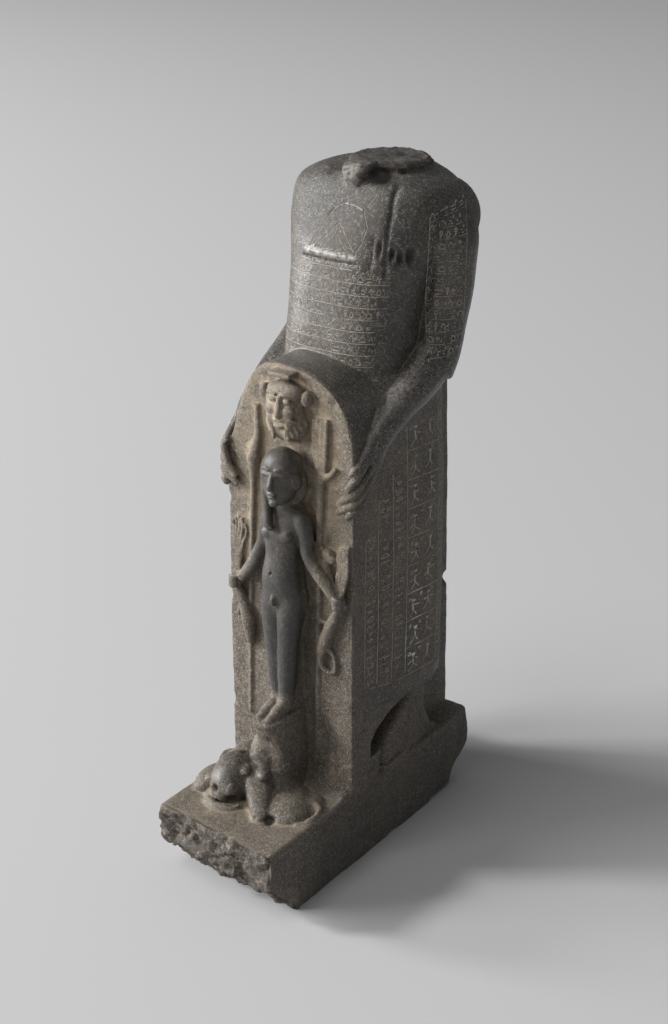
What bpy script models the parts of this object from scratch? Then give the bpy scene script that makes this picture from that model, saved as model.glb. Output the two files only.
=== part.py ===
"""A magical healing statue: a headless standing man who holds an arched stela in front of him,
all carved from one block of dark stone with its plinth and back pillar.

Units are metres, +Z is up, the figure faces -Y, and the origin is under the middle of the plinth.
Every form is modelled on its own as a closed shape, then all are fused into one solid.
"""

import math

import bmesh
import bpy
from mathutils import Matrix, Vector

# ---------------------------------------------------------------- driving dimensions
PLINTH_WIDTH = 0.120
PLINTH_DEPTH = 0.289
PLINTH_HEIGHT = 0.067
STATUE_HEIGHT = 0.565
SHOULDER_HALF = 0.0830         # from the middle to the outside of an upper arm
STELA_HALF = 0.0605
STELA_FRONT = -0.037
STELA_BACK = -0.004
STELA_TOP = 0.4235
STELA_SPRING = 0.345           # where the straight sides turn into the arch
HEM = 0.149                    # lower edge of the long garment
PILLAR_BACK = 0.140
PILLAR_FRONT = 0.108

GRAIN = 0.0021                 # size of the cells in which the forms are fused
TRIANGLES = 9600               # what the finished solid is thinned to
BELOW = 0.006                  # how far forms reach under the plinth before it is cut flat

HALF_WIDTH = PLINTH_WIDTH / 2
HALF_DEPTH = PLINTH_DEPTH / 2


# ---------------------------------------------------------------- scene and small tools
def clear_scene():
    for old in list(bpy.data.objects):
        bpy.data.objects.remove(old)


def new_collection(name):
    made = bpy.data.collections.new(name)
    bpy.context.scene.collection.children.link(made)
    return made


def add_object(name, mesh):
    made = bpy.data.objects.new(name, mesh)
    FORMS.objects.link(made)
    return made


def finish_mesh(name, shape, matrix=None):
    """A bmesh as a new object, with its faces pointing out."""
    if matrix is not None:
        bmesh.ops.transform(shape, matrix=matrix, verts=shape.verts)
    bmesh.ops.recalc_face_normals(shape, faces=shape.faces)
    mesh = bpy.data.meshes.new(name)
    shape.to_mesh(mesh)
    shape.free()
    return add_object(name, mesh)


def block(name, low, high, round_off=0.0):
    """A box between two corners, with its edges rounded by round_off."""
    low, high = Vector(low), Vector(high)
    shape = bmesh.new()
    size = Matrix.Diagonal((*(high - low), 1))
    bmesh.ops.create_cube(shape, size=1, matrix=Matrix.Translation((low + high) / 2) @ size)
    if round_off:
        bmesh.ops.bevel(
            shape, geom=shape.edges, offset=round_off, segments=3, profile=0.5, affect="EDGES"
        )
    return finish_mesh(name, shape)


def pebble(name, centre, size, turn=(0, 0, 0)):
    """An ellipsoid with half axes size, turned by degrees about X, Y and Z."""
    shape = bmesh.new()
    bmesh.ops.create_uvsphere(shape, u_segments=20, v_segments=12, radius=1)
    spin = Matrix.Identity(4)
    for angle, axis in zip(turn, "XYZ"):
        spin = Matrix.Rotation(math.radians(angle), 4, axis) @ spin
    matrix = Matrix.Translation(centre) @ spin @ Matrix.Diagonal((*size, 1))
    return finish_mesh(name, shape, matrix)


def between(a, b, c, d, t):
    """The Catmull-Rom value at share t of the stretch from b to c."""
    return 0.5 * (
        2 * b + (c - a) * t + (2 * a - 5 * b + 4 * c - d) * t * t + (3 * b - a - 3 * c + d) * t**3
    )


def smooth_rows(rows, steps):
    """Rows of numbers with steps - 1 rows put between each two, on one smooth curve."""
    rows = [Vector(row) for row in rows]
    rows = [rows[0] * 2 - rows[1]] + rows + [rows[-1] * 2 - rows[-2]]
    found = []
    for i in range(1, len(rows) - 2):
        for step in range(steps):
            found.append(between(*rows[i - 1 : i + 3], step / steps))
    return found + [rows[-2]]


def limb(name, rows, steps=4, bevel_resolution=6):
    """A round limb through rows of (x, y, z, radius)."""
    curve = bpy.data.curves.new(name, "CURVE")
    curve.dimensions = "3D"
    curve.bevel_depth = 1.0
    curve.bevel_resolution = bevel_resolution
    curve.use_fill_caps = True
    points = smooth_rows(rows, steps)
    spline = curve.splines.new("POLY")
    spline.points.add(len(points) - 1)
    for point, (x, y, z, radius) in zip(spline.points, points):
        point.co = (x, y, z, 1)
        point.radius = max(radius, 0.0004)
    tube = add_object(name, curve)
    bpy.context.view_layer.update()
    graph = bpy.context.evaluated_depsgraph_get()
    mesh = bpy.data.meshes.new_from_object(tube.evaluated_get(graph))
    bpy.data.objects.remove(tube)
    shape = bmesh.new()
    shape.from_mesh(mesh)
    bmesh.ops.remove_doubles(shape, verts=shape.verts, dist=0.00001)
    return finish_mesh(name, shape)


def section(row, sides):
    """A level ring: row holds z, half width, front y, back y and squareness (2 is an ellipse)."""
    z, half_width, front, back, square = row
    ring = []
    for i in range(sides):
        turn = 2 * math.pi * i / sides
        c, s = math.cos(turn), math.sin(turn)
        x = half_width * math.copysign(abs(c) ** (2 / square), c)
        y = (back - front) / 2 * math.copysign(abs(s) ** (2 / square), s)
        ring.append((x, (front + back) / 2 + y, z))
    return ring


def loft(name, rows, steps=3, sides=32, matrix=None):
    """A closed body through level sections, which are unlike each other."""
    shape = bmesh.new()
    rings = []
    for row in smooth_rows(rows, steps):
        rings.append([shape.verts.new(point) for point in section(row, sides)])
    for low, high in zip(rings, rings[1:]):
        for i in range(sides):
            j = (i + 1) % sides
            shape.faces.new((low[i], low[j], high[j], high[i]))
    shape.faces.new(rings[0][::-1])
    shape.faces.new(rings[-1])
    return finish_mesh(name, shape, matrix)


def both_sides(make, name, *rows, **more):
    """One form for the figure's left (+X) and its mirror image for the right."""
    for side, word in ((1, "left"), (-1, "right")):
        mirrored = [(side * row[0], *row[1:]) for row in rows]
        make(f"{name}_{word}", mirrored, **more)


# ---------------------------------------------------------------- the plinth
def plinth():
    """A rounded block. Its front is broken off rough and askew, and slants back below."""
    low = (-HALF_WIDTH, -HALF_DEPTH, -BELOW)
    high = (HALF_WIDTH, HALF_DEPTH, PLINTH_HEIGHT)
    body = block("plinth", low, high, round_off=0.005)
    undercut, lip, askew = 0.036, 0.030, 0.009
    shape = bmesh.new()
    shape.from_mesh(body.data)
    bmesh.ops.subdivide_edges(shape, edges=shape.edges, cuts=3, use_grid_fill=True)
    for vert in shape.verts:
        ahead = max(0.0, -vert.co.y / HALF_DEPTH)
        below = max(0.0, (PLINTH_HEIGHT - lip - vert.co.z) / (PLINTH_HEIGHT - lip))
        vert.co.y += undercut * below**1.2 * ahead
        vert.co.y += askew * ahead * (0.5 - vert.co.x / PLINTH_WIDTH)
    shape.to_mesh(body.data)
    shape.free()


# ---------------------------------------------------------------- the standing man
def garment_and_torso():
    """The long wrapped garment from the hem up, and the torso to the shoulders."""
    inside = 0.020
    loft(
        "garment",
        [
            (HEM - 0.010, 0.0630, STELA_BACK - inside, 0.122, 3.4),
            (0.200, 0.0645, STELA_BACK - inside, 0.122, 3.4),
            (0.280, 0.0640, STELA_BACK - inside, 0.121, 3.2),
            (0.350, 0.0620, STELA_BACK - inside, 0.119, 2.9),
            (0.385, 0.0600, STELA_BACK - inside, 0.118, 2.6),
            (0.410, 0.0570, STELA_BACK, 0.117, 2.4),
        ],
    )
    loft(
        "torso",
        [
            (0.380, 0.0540, 0.000, 0.117, 2.4),
            (0.425, 0.0540, 0.001, 0.117, 2.4),
            (0.455, 0.0550, 0.007, 0.119, 2.4),
            (0.485, 0.0600, 0.014, 0.122, 2.4),
            (0.508, 0.0650, 0.020, 0.124, 2.4),
            (0.526, 0.0680, 0.027, 0.125, 2.4),
            (0.540, 0.0660, 0.034, 0.125, 2.4),
            (0.549, 0.0580, 0.040, 0.123, 2.4),
            (0.5545, 0.0440, 0.046, 0.120, 2.3),
        ],
    )


def neck():
    """The neck is broken off in a rough, tilted plane. A stub of the beard is left in front."""
    tilt = 0.010 / 0.070
    slope = Matrix.Identity(4)
    slope[2][0] = tilt
    loft(
        "neck_stump",
        [
            (0.535, 0.0400, 0.048, 0.116, 2.6),
            (0.551, 0.0370, 0.049, 0.114, 2.6),
            (0.5585, 0.0355, 0.047, 0.112, 2.6),
            (0.5600, 0.0300, 0.054, 0.106, 2.4),
        ],
        matrix=slope,
    )
    block("broken_beard", (-0.028, 0.032, 0.538), (-0.008, 0.056, 0.5575), round_off=0.003)


def pillar():
    """The back pillar, a little narrower towards its top, which ends between the shoulders."""
    foot, top, square = 0.034, 0.025, 14
    loft(
        "back_pillar",
        [
            (PLINTH_HEIGHT - 0.01, foot, PILLAR_FRONT, PILLAR_BACK, square),
            (0.300, (foot + top) / 2, PILLAR_FRONT, PILLAR_BACK, square),
            (0.536, top, PILLAR_FRONT, PILLAR_BACK - 0.003, square),
            (0.541, top - 0.004, PILLAR_FRONT, PILLAR_BACK - 0.008, square),
        ],
        steps=1,
        sides=48,
    )


def arms():
    """Both arms reach down and forward. Stone is left between them and the body."""
    upper = 0.0205
    reach = SHOULDER_HALF - upper - 0.0015
    both_sides(
        limb,
        "upper_arm",
        (0.0350, 0.084, 0.524, 0.0240),
        (0.0520, 0.086, 0.520, 0.0265),
        (reach - 0.0010, 0.086, 0.508, 0.0228),
        (reach, 0.0860, 0.488, 0.0210),
        (reach - 0.0010, 0.0845, 0.465, upper),
        (reach - 0.0030, 0.0810, 0.443, 0.0200),
        (reach - 0.0020, 0.0730, 0.420, 0.0195),
        (reach - 0.0010, 0.0630, 0.404, 0.0180),
    )
    both_sides(
        limb,
        "forearm",
        (reach - 0.0020, 0.065, 0.412, 0.0185),
        (reach - 0.0015, 0.043, 0.399, 0.0165),
        (reach - 0.0015, 0.016, 0.386, 0.0135),
        (reach - 0.0015, -0.008, 0.368, 0.0108),
        (reach - 0.0020, -0.016, 0.352, 0.0090),
    )


def hands():
    """Each hand holds the stela's edge, with the thumb above and the fingers round the front."""
    side = STELA_HALF
    front = STELA_FRONT
    both_sides(
        limb,
        "palm",
        (side - 0.004, -0.010, 0.362, 0.0095),
        (side - 0.004, -0.016, 0.346, 0.0095),
        (side - 0.004, -0.020, 0.332, 0.0080),
    )
    both_sides(
        limb,
        "thumb",
        (side, -0.008, 0.374, 0.0050),
        (side + 0.001, -0.024, 0.357, 0.0044),
        (side - 0.001, front - 0.001, 0.348, 0.0036),
    )
    finger, drop = 0.0036, 0.0088
    for number, reach in enumerate((0.0140, 0.0160, 0.0100)):
        top = 0.3400 - number * drop
        both_sides(
            limb,
            f"finger_{number + 1}",
            (side, -0.012 - 0.003 * number, top + 0.004, finger),
            (side + 0.0012, -0.026, top + 0.001, finger),
            (side - 0.0020, front - 0.0005, top - 0.003, finger),
            (side - reach, front - 0.0015, top - 0.011, 0.0030),
        )


def flat_block(name, outline, low, high):
    """A body of one outline of (y, z), from x = low to x = high."""
    shape = bmesh.new()
    face = shape.faces.new([shape.verts.new((low, y, z)) for y, z in outline])
    made = bmesh.ops.extrude_face_region(shape, geom=[face])
    moved = [item for item in made["geom"] if isinstance(item, bmesh.types.BMVert)]
    bmesh.ops.translate(shape, verts=moved, vec=(high - low, 0, 0))
    finish_mesh(name, shape)


def legs_and_feet():
    """Below the hem. The left foot is ahead, and stone is left between and before the legs."""
    ground = PLINTH_HEIGHT - 0.01
    middle = 0.028
    flat_block(
        "stone_between_legs",
        [(STELA_FRONT, ground), (0.125, ground), (0.125, HEM + 0.02), (STELA_FRONT, HEM + 0.02)],
        -middle,
        middle,
    )
    for word, side, heel in (("left", 1, 0.097), ("right", -1, 0.118)):
        toe = heel - 0.102
        ankle = heel - 0.038
        inner, outer = sorted((side * 0.020, side * (STELA_HALF - 0.0015)))
        flat_block(
            f"stone_before_foot_{word}",
            [
                (STELA_FRONT, ground),
                (toe - 0.004, ground),
                (toe - 0.004, 0.090),
                (toe + 0.002, 0.108),
                (toe + 0.012, 0.124),
                (toe + 0.040, 0.133),
                (toe + 0.050, HEM + 0.01),
                (STELA_FRONT, HEM + 0.01),
            ],
            inner,
            outer,
        )
        limb(
            f"leg_{word}",
            [
                (side * 0.038, ankle + 0.004, HEM + 0.030, 0.0210),
                (side * 0.037, ankle, HEM - 0.010, 0.0185),
                (side * 0.036, ankle + 0.002, PLINTH_HEIGHT + 0.040, 0.0165),
                (side * 0.036, ankle + 0.006, PLINTH_HEIGHT + 0.018, 0.0155),
                (side * 0.036, ankle + 0.008, PLINTH_HEIGHT + 0.002, 0.0155),
            ],
        )
        limb(
            f"foot_{word}",
            [
                (side * 0.0350, heel - 0.013, PLINTH_HEIGHT + 0.004, 0.0120),
                (side * 0.0355, ankle, PLINTH_HEIGHT + 0.018, 0.0155),
                (side * 0.0360, ankle - 0.022, PLINTH_HEIGHT + 0.012, 0.0145),
                (side * 0.0380, toe + 0.024, PLINTH_HEIGHT + 0.002, 0.0140),
                (side * 0.0400, toe + 0.015, PLINTH_HEIGHT - 0.001, 0.0125),
            ],
        )
        for number in range(5):
            out = side * (0.0290 + number * 0.0059)
            tip = toe + 0.0030 * number
            size = 0.0050 if number == 0 else 0.0038
            limb(
                f"toe_{word}_{number + 1}",
                [
                    (out, tip + 0.026, PLINTH_HEIGHT + 0.010, size),
                    (out, tip + 0.010, PLINTH_HEIGHT + 0.006, size),
                    (out, tip + 0.001, PLINTH_HEIGHT + 0.003, size * 0.8),
                ],
            )


# ---------------------------------------------------------------- the stela and its relief
def stela():
    """A thick slab with an arched top, as a flat outline that is given its thickness."""
    arch_steps = 24
    outline = [(STELA_HALF, PLINTH_HEIGHT - 0.01), (STELA_HALF, STELA_SPRING)]
    for i in range(1, arch_steps):
        turn = math.pi * i / arch_steps
        rise = STELA_TOP - STELA_SPRING
        x = STELA_HALF * math.copysign(abs(math.cos(turn)) ** 0.92, math.cos(turn))
        outline.append((x, STELA_SPRING + rise * math.sin(turn)))
    outline += [(-STELA_HALF, STELA_SPRING), (-STELA_HALF, PLINTH_HEIGHT - 0.01)]
    shape = bmesh.new()
    face = shape.faces.new([shape.verts.new((x, STELA_FRONT, z)) for x, z in outline])
    made = bmesh.ops.extrude_face_region(shape, geom=[face])
    back = [item for item in made["geom"] if isinstance(item, bmesh.types.BMVert)]
    bmesh.ops.translate(shape, verts=back, vec=(0, 0.022 - STELA_FRONT, 0))
    finish_mesh("stela", shape)


def child():
    """The child god in high relief: he stands on the crocodiles and faces the front."""
    face = STELA_FRONT
    loft(
        "child_web",
        [
            (PLINTH_HEIGHT, 0.020, face - 0.012, face + 0.01, 8),
            (0.300, 0.018, face - 0.006, face + 0.01, 8),
        ],
        steps=1,
    )
    loft(
        "child_body",
        [
            (0.205, 0.0185, face - 0.019, face, 2.4),
            (0.226, 0.0205, face - 0.020, face, 2.3),
            (0.242, 0.0175, face - 0.021, face, 2.2),
            (0.258, 0.0155, face - 0.017, face, 2.2),
            (0.274, 0.0190, face - 0.018, face, 2.3),
            (0.285, 0.0245, face - 0.017, face, 2.4),
            (0.293, 0.0200, face - 0.012, face, 2.2),
            (0.300, 0.0070, face - 0.008, face, 2.0),
        ],
    )
    for word, side, ahead in (("left", 1, 0.000), ("right", -1, 0.008)):
        foot = 0.0035 + side * 0.0055
        limb(
            f"child_leg_{word}",
            [
                (0.003 + side * 0.0095, face - 0.009, 0.226, 0.0115),
                (0.003 + side * 0.0090, face - 0.010, 0.205, 0.0108),
                (0.003 + side * 0.0080, face - 0.010 - ahead / 2, 0.186, 0.0088),
                (0.003 + side * 0.0070, face - 0.009 - ahead, 0.165, 0.0084),
                (foot, face - 0.010 - ahead, 0.148, 0.0064),
                (foot, face - 0.011 - ahead, 0.138, 0.0062),
            ],
        )
        limb(
            f"child_foot_{word}",
            [
                (foot, face - 0.008 - ahead, 0.135, 0.0058),
                (foot - 0.001, face - 0.018 - ahead, 0.133, 0.0056),
                (foot - 0.003, face - 0.027 - ahead, 0.130, 0.0042),
            ],
        )
        limb(
            f"child_arm_{word}",
            [
                (side * 0.0215, face - 0.007, 0.287, 0.0072),
                (side * 0.0285, face - 0.008, 0.272, 0.0066),
                (side * 0.0350, face - 0.007, 0.258, 0.0058),
                (side * 0.0440, face - 0.006, 0.246, 0.0050),
                (side * 0.0510, face - 0.005, 0.238, 0.0052),
            ],
        )
    pebble("child_head", (0.0005, face - 0.010, 0.333), (0.0205, 0.016, 0.0270))
    pebble("child_jaw", (0.0005, face - 0.014, 0.321), (0.0150, 0.011, 0.0125))
    limb(
        "side_lock",
        [
            (-0.0180, face - 0.010, 0.340, 0.0050),
            (-0.0200, face - 0.011, 0.322, 0.0046),
            (-0.0165, face - 0.012, 0.306, 0.0042),
            (-0.0130, face - 0.014, 0.298, 0.0036),
        ],
    )
    block("child_pedestal", (-0.020, face - 0.034, 0.085), (0.020, face, 0.127), round_off=0.006)


def mask():
    """The bearded mask over the child: a broad face, round ears and a low crown."""
    face = STELA_FRONT
    pebble("mask_face", (0.0015, face - 0.002, 0.389), (0.0180, 0.013, 0.0220))
    pebble("mask_beard", (0.0015, face - 0.003, 0.376), (0.0190, 0.011, 0.0130))
    pebble("mask_nose", (0.0005, face - 0.014, 0.388), (0.0034, 0.004, 0.0060))
    block("mask_crown", (-0.012, face - 0.009, 0.404), (0.013, face + 0.004, 0.414), round_off=0.003)
    for side in (-1, 1):
        pebble("mask_ear", (0.0015 + side * 0.0220, face - 0.002, 0.394), (0.005, 0.006, 0.0075))


def standards_and_animals():
    """On each side a tall staff, and the snakes and beasts that the child grips."""
    face = STELA_FRONT
    both_sides(
        limb,
        "staff",
        (0.0330, face - 0.001, 0.098, 0.0028),
        (0.0345, face - 0.001, 0.230, 0.0028),
        (0.0355, face - 0.001, 0.330, 0.0030),
        (0.0350, face - 0.001, 0.372, 0.0055),
        (0.0345, face - 0.001, 0.392, 0.0050),
    )
    for offset in (-0.006, 0.000, 0.006):
        both_sides(
            limb,
            "snake",
            (0.0500, face - 0.003, 0.240, 0.0022),
            (0.0480 + offset, face - 0.002, 0.262, 0.0024),
            (0.0470 + offset, face - 0.002, 0.280, 0.0026),
            (0.0440 + offset, face - 0.001, 0.290, 0.0030),
        )
    both_sides(
        limb,
        "beast",
        (0.0490, face - 0.002, 0.234, 0.0040),
        (0.0470, face - 0.002, 0.218, 0.0055),
        (0.0430, face - 0.001, 0.203, 0.0060),
        (0.0435, face - 0.001, 0.190, 0.0045),
        (0.0480, face - 0.001, 0.180, 0.0030),
    )


def crocodiles():
    """Two crocodiles lie crossed under the child, with their heads on the front of the plinth."""
    ground = PLINTH_HEIGHT
    limb(
        "crocodile_right",
        [
            (0.030, -0.050, ground + 0.008, 0.0130),
            (0.000, -0.058, ground + 0.016, 0.0180),
            (-0.026, -0.064, ground + 0.016, 0.0190),
            (-0.034, -0.078, ground + 0.014, 0.0190),
            (-0.027, -0.090, ground + 0.012, 0.0190),
            (-0.016, -0.102, ground + 0.008, 0.0160),
            (-0.006, -0.113, ground + 0.003, 0.0090),
        ],
    )
    limb(
        "crocodile_left",
        [
            (-0.040, -0.048, ground + 0.012, 0.0120),
            (-0.024, -0.058, ground + 0.022, 0.0130),
            (-0.010, -0.070, ground + 0.022, 0.0150),
            (0.004, -0.086, ground + 0.015, 0.0130),
            (0.015, -0.101, ground + 0.009, 0.0095),
            (0.025, -0.115, ground + 0.004, 0.0060),
        ],
    )
    limb(
        "crocodile_flank",
        [
            (0.004, -0.070, ground + 0.006, 0.0160),
            (0.026, -0.082, ground + 0.000, 0.0150),
            (0.042, -0.086, ground - 0.003, 0.0110),
        ],
    )
    limb(
        "crocodile_tail",
        [
            (0.046, -0.074, ground - 0.001, 0.0050),
            (0.0545, -0.066, ground - 0.001, 0.0046),
            (0.0560, -0.045, ground - 0.001, 0.0042),
            (0.0560, -0.022, ground - 0.001, 0.0036),
        ],
    )
    pebble("crocodile_bellies", (-0.008, -0.078, ground - 0.002), (0.040, 0.034, 0.018))
    pebble("crocodile_eye", (-0.013, -0.074, ground + 0.031), (0.007, 0.007, 0.006))
    pebble("crocodile_brow", (-0.037, -0.090, ground + 0.026), (0.008, 0.009, 0.006))
    pebble("crocodile_foot", (0.012, -0.056, ground + 0.022), (0.0075, 0.0085, 0.0085))
    pebble("crocodile_claw", (-0.0075, -0.1135, ground + 0.002), (0.006, 0.006, 0.005))
    pebble("crocodile_hip", (-0.047, -0.088, ground + 0.006), (0.008, 0.010, 0.010))


# ---------------------------------------------------------------- one stone
def fuse(name):
    """All forms as one closed mesh: joined, fused in small cells, thinned and cut flat below."""
    shape = bmesh.new()
    for form in list(FORMS.objects):
        shape.from_mesh(form.data)
        bpy.data.objects.remove(form)
    mesh = bpy.data.meshes.new(name)
    shape.to_mesh(mesh)
    shape.free()
    stone = bpy.data.objects.new(name, mesh)
    STATUE.objects.link(stone)

    remesh = stone.modifiers.new("fuse", "REMESH")
    remesh.mode = "VOXEL"
    remesh.voxel_size = GRAIN
    soften = stone.modifiers.new("soften", "SMOOTH")
    soften.factor = 0.4
    soften.iterations = 2
    bpy.context.view_layer.update()
    graph = bpy.context.evaluated_depsgraph_get()
    cells = stone.evaluated_get(graph).data
    cells.calc_loop_triangles()
    thin = stone.modifiers.new("thin", "DECIMATE")
    thin.ratio = TRIANGLES / len(cells.loop_triangles)

    cutter = new_floor_cutter()
    flat = stone.modifiers.new("flat_underside", "BOOLEAN")
    flat.operation = "DIFFERENCE"
    flat.object = cutter
    return stone


def new_floor_cutter():
    """Everything below z = 0, which leaves the underside flat."""
    depth, margin = 0.05, 0.05
    shape = bmesh.new()
    size = Matrix.Diagonal((PLINTH_WIDTH + 2 * margin, PLINTH_DEPTH + 2 * margin, depth, 1))
    place = Matrix.Translation((0, 0, -depth / 2))
    bmesh.ops.create_cube(shape, size=1, matrix=place @ size)
    mesh = bpy.data.meshes.new("floor_cutter")
    shape.to_mesh(mesh)
    shape.free()
    cutter = bpy.data.objects.new("floor_cutter", mesh)
    CUTTERS.objects.link(cutter)
    cutter.hide_render = True
    cutter.display_type = "WIRE"
    return cutter


def dark_stone():
    """Granodiorite: nearly black, with a soft polish."""
    material = bpy.data.materials.new("dark_stone")
    material.use_nodes = True
    shader = material.node_tree.nodes["Principled BSDF"]
    shader.inputs["Base Color"].default_value = (0.075, 0.068, 0.060, 1)
    shader.inputs["Roughness"].default_value = 0.55
    shader.inputs["Metallic"].default_value = 0.0
    return material


clear_scene()
STATUE = new_collection("healing_statue")
FORMS = new_collection("forms")
CUTTERS = new_collection("cutters")
plinth()
garment_and_torso()
neck()
pillar()
arms()
hands()
legs_and_feet()
stela()
child()
mask()
standards_and_animals()
crocodiles()
statue = fuse("healing_statue")
statue.data.materials.append(dark_stone())
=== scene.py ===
# %% [markdown]
# # A magical healing statue
#
# The real object is a man of dark stone, headless now, who holds an arched stela in front of him. On the
# stela a naked child god stands on crocodiles. People poured water over the rows of signs and drank it as
# a cure. Figure, stela, back pillar and plinth were carved from one block, so the script ends with one
# mesh as well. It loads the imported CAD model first, because that model fixes the size and the place of
# all that follows.

# %% Setup
import math
import random

import bpy
import numpy as np
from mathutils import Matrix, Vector
from mathutils.bvhtree import BVHTree


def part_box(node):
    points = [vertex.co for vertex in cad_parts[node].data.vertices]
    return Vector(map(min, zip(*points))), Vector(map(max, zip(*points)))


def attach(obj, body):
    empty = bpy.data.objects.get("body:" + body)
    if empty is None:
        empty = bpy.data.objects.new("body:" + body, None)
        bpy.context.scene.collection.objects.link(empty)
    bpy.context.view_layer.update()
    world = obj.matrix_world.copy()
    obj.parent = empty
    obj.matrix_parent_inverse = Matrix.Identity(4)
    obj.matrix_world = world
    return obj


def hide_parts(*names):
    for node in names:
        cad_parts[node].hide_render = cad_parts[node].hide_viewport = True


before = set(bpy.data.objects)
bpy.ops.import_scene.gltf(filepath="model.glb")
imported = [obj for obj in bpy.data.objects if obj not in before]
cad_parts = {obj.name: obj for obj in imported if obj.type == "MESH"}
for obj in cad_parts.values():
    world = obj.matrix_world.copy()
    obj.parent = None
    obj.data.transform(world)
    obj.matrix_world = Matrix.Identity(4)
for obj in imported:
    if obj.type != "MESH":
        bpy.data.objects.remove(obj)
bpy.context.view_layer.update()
low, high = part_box("healing_statue")
print("CAD box", [round(v, 4) for v in (*low, *high)])

# %% [markdown]
# ## The main measures
#
# Everything is in metres. The statue faces -Y and stands on z = 0, and its own left is +X. A carver would
# draw these few lines on the faces of the block before cutting, and the forms below are placed from them.

# %% Main measures
HALF_WIDTH = 0.060  # of the plinth
HALF_DEPTH = (high[1] - low[1]) / 2
GROUND = 0.067  # top of the plinth
SUNK = GROUND - 0.01  # forms that stand on the plinth start inside it
SLAB_HALF = 0.0605  # half width of the stela
FACE = -0.037  # front plane of the stela
ROOT = FACE + 0.006  # forms in high relief reach this far into the stela
SLAB_BACK = -0.004  # where the arch meets the belly
SPRING = 0.345  # where the stela's sides turn into the arch
SLAB_TOP = 0.4235  # highest point of the arch
HEM = 0.139  # lower edge of the garment
PILLAR_BACK = 0.140  # back of the pillar
BELOW = 0.0015  # forms start a little under the floor and are pressed flat on it later
SIDES = ((1, "left"), (-1, "right"))

# %% [markdown]
# ## Helpers for modelling
#
# An operator works on all that is selected, so each new form starts with nothing selected. After it has
# its shape, its place is applied, so that the object itself stays at the origin. Points are read and
# written as one numpy array, which is far quicker than a loop over them.


# %% Helpers for modelling
def nothing_selected():
    active = bpy.context.object
    if active and active.mode != "OBJECT":
        bpy.ops.object.mode_set(mode="OBJECT")
    bpy.ops.object.select_all(action="DESELECT")


def picked(piece):
    """Selects this piece alone and makes it active."""
    nothing_selected()
    piece.select_set(True)
    bpy.context.view_layer.objects.active = piece


def in_edit_mode(operator, **settings):
    """Runs one operator on the whole of the active piece."""
    bpy.ops.object.mode_set(mode="EDIT")
    bpy.ops.mesh.select_all(action="SELECT")
    operator(**settings)
    bpy.ops.object.mode_set(mode="OBJECT")


def settled(name):
    """Names the active piece and applies its place, turn and scale."""
    piece = bpy.context.object
    bpy.ops.object.transform_apply(location=True, rotation=True, scale=True)
    piece.name = name
    return piece


def points_of(piece):
    found = np.empty(len(piece.data.vertices) * 3, np.float32)
    piece.data.vertices.foreach_get("co", found)
    return found.reshape(-1, 3).astype(float)


def move_points(piece, points):
    piece.data.vertices.foreach_set("co", points.astype(np.float32).ravel())
    piece.data.update()


def ramp(values, start, end):
    """0 before start, 1 after end, smooth between."""
    share = np.clip((values - start) / (end - start), 0, 1)
    return share * share * (3 - 2 * share)


# %% [markdown]
# ## The plinth
#
# A plain block with rounded edges. Its front is broken off: the break slants back towards the floor, and
# runs a little askew in plan. A Boolean could cut the slant, but it would leave a sharp flat face. Moving
# the points of a subdivided block bends the front and rounds the worn back corners in one go. The grain of
# the break comes later, on the finished skin.


# %% Plinth
def block(name, start, end, round_off):
    """A box between two corners with rounded edges."""
    nothing_selected()
    middle = [(a + b) / 2 for a, b in zip(start, end)]
    size = [b - a for a, b in zip(start, end)]
    bpy.ops.mesh.primitive_cube_add(size=1, location=middle, scale=size)
    piece = settled(name)
    in_edit_mode(bpy.ops.mesh.bevel, offset=round_off, segments=3, affect="EDGES")
    return piece


plinth = block(
    "plinth",
    (-HALF_WIDTH, -HALF_DEPTH, -BELOW),
    (HALF_WIDTH, HALF_DEPTH, GROUND),
    round_off=0.0035,
)
picked(plinth)
in_edit_mode(bpy.ops.mesh.subdivide, number_cuts=9)

undercut, lip, askew = 0.036, 0.030, 0.009  # of the break: its slant, the height above it, its turn in plan
corner, foot_corner = 0.028, 0.036  # length of the worn back corners, and their height above the floor
points = points_of(plinth)
ahead = np.clip(-points[:, 1] / HALF_DEPTH, 0, 1)
under = np.clip((GROUND - lip - points[:, 2]) / (GROUND - lip), 0, 1.1)
points[:, 1] += undercut * under**1.2 * ahead
points[:, 1] += askew * ahead * (0.5 - points[:, 0] / HALF_WIDTH / 2)
behind = np.clip((points[:, 1] - HALF_DEPTH + corner) / corner, 0, 1) ** 2
lower = 1 - ramp(points[:, 2], 0.0, foot_corner)
points[:, 0] *= 1 - behind * (0.02 + 0.06 * ramp(points[:, 2], 0.045, GROUND) + 0.22 * lower)
points[:, 1] -= 0.012 * behind * lower
move_points(plinth, points)
print("plinth", plinth.dimensions)

# %% [markdown]
# ## The man
#
# The torso rises from the stela like a slightly flattened barrel and spreads to broad round shoulders. It
# could be sculpted by hand, but level rings describe such a body well and stay exact: each has a width, a
# front, a back and a squareness. A circle is extruded once for each ring, and then every ring is moved to
# its place.


# %% Bodies of rings
def smooth_rows(rows, steps):
    """Puts rows on a smooth curve between the given ones (Catmull-Rom)."""
    rows = np.array(rows, float)
    rows = np.vstack([2 * rows[0] - rows[1], rows, 2 * rows[-1] - rows[-2]])
    found = []
    for a, b, c, d in zip(rows, rows[1:], rows[2:], rows[3:]):
        for t in np.arange(steps) / steps:
            cubic = (2 * a - 5 * b + 4 * c - d) * t**2 + (3 * b - a - 3 * c + d) * t**3
            found.append(0.5 * (2 * b + (c - a) * t + cubic))
    return np.array([*found, rows[-2]])


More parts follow.
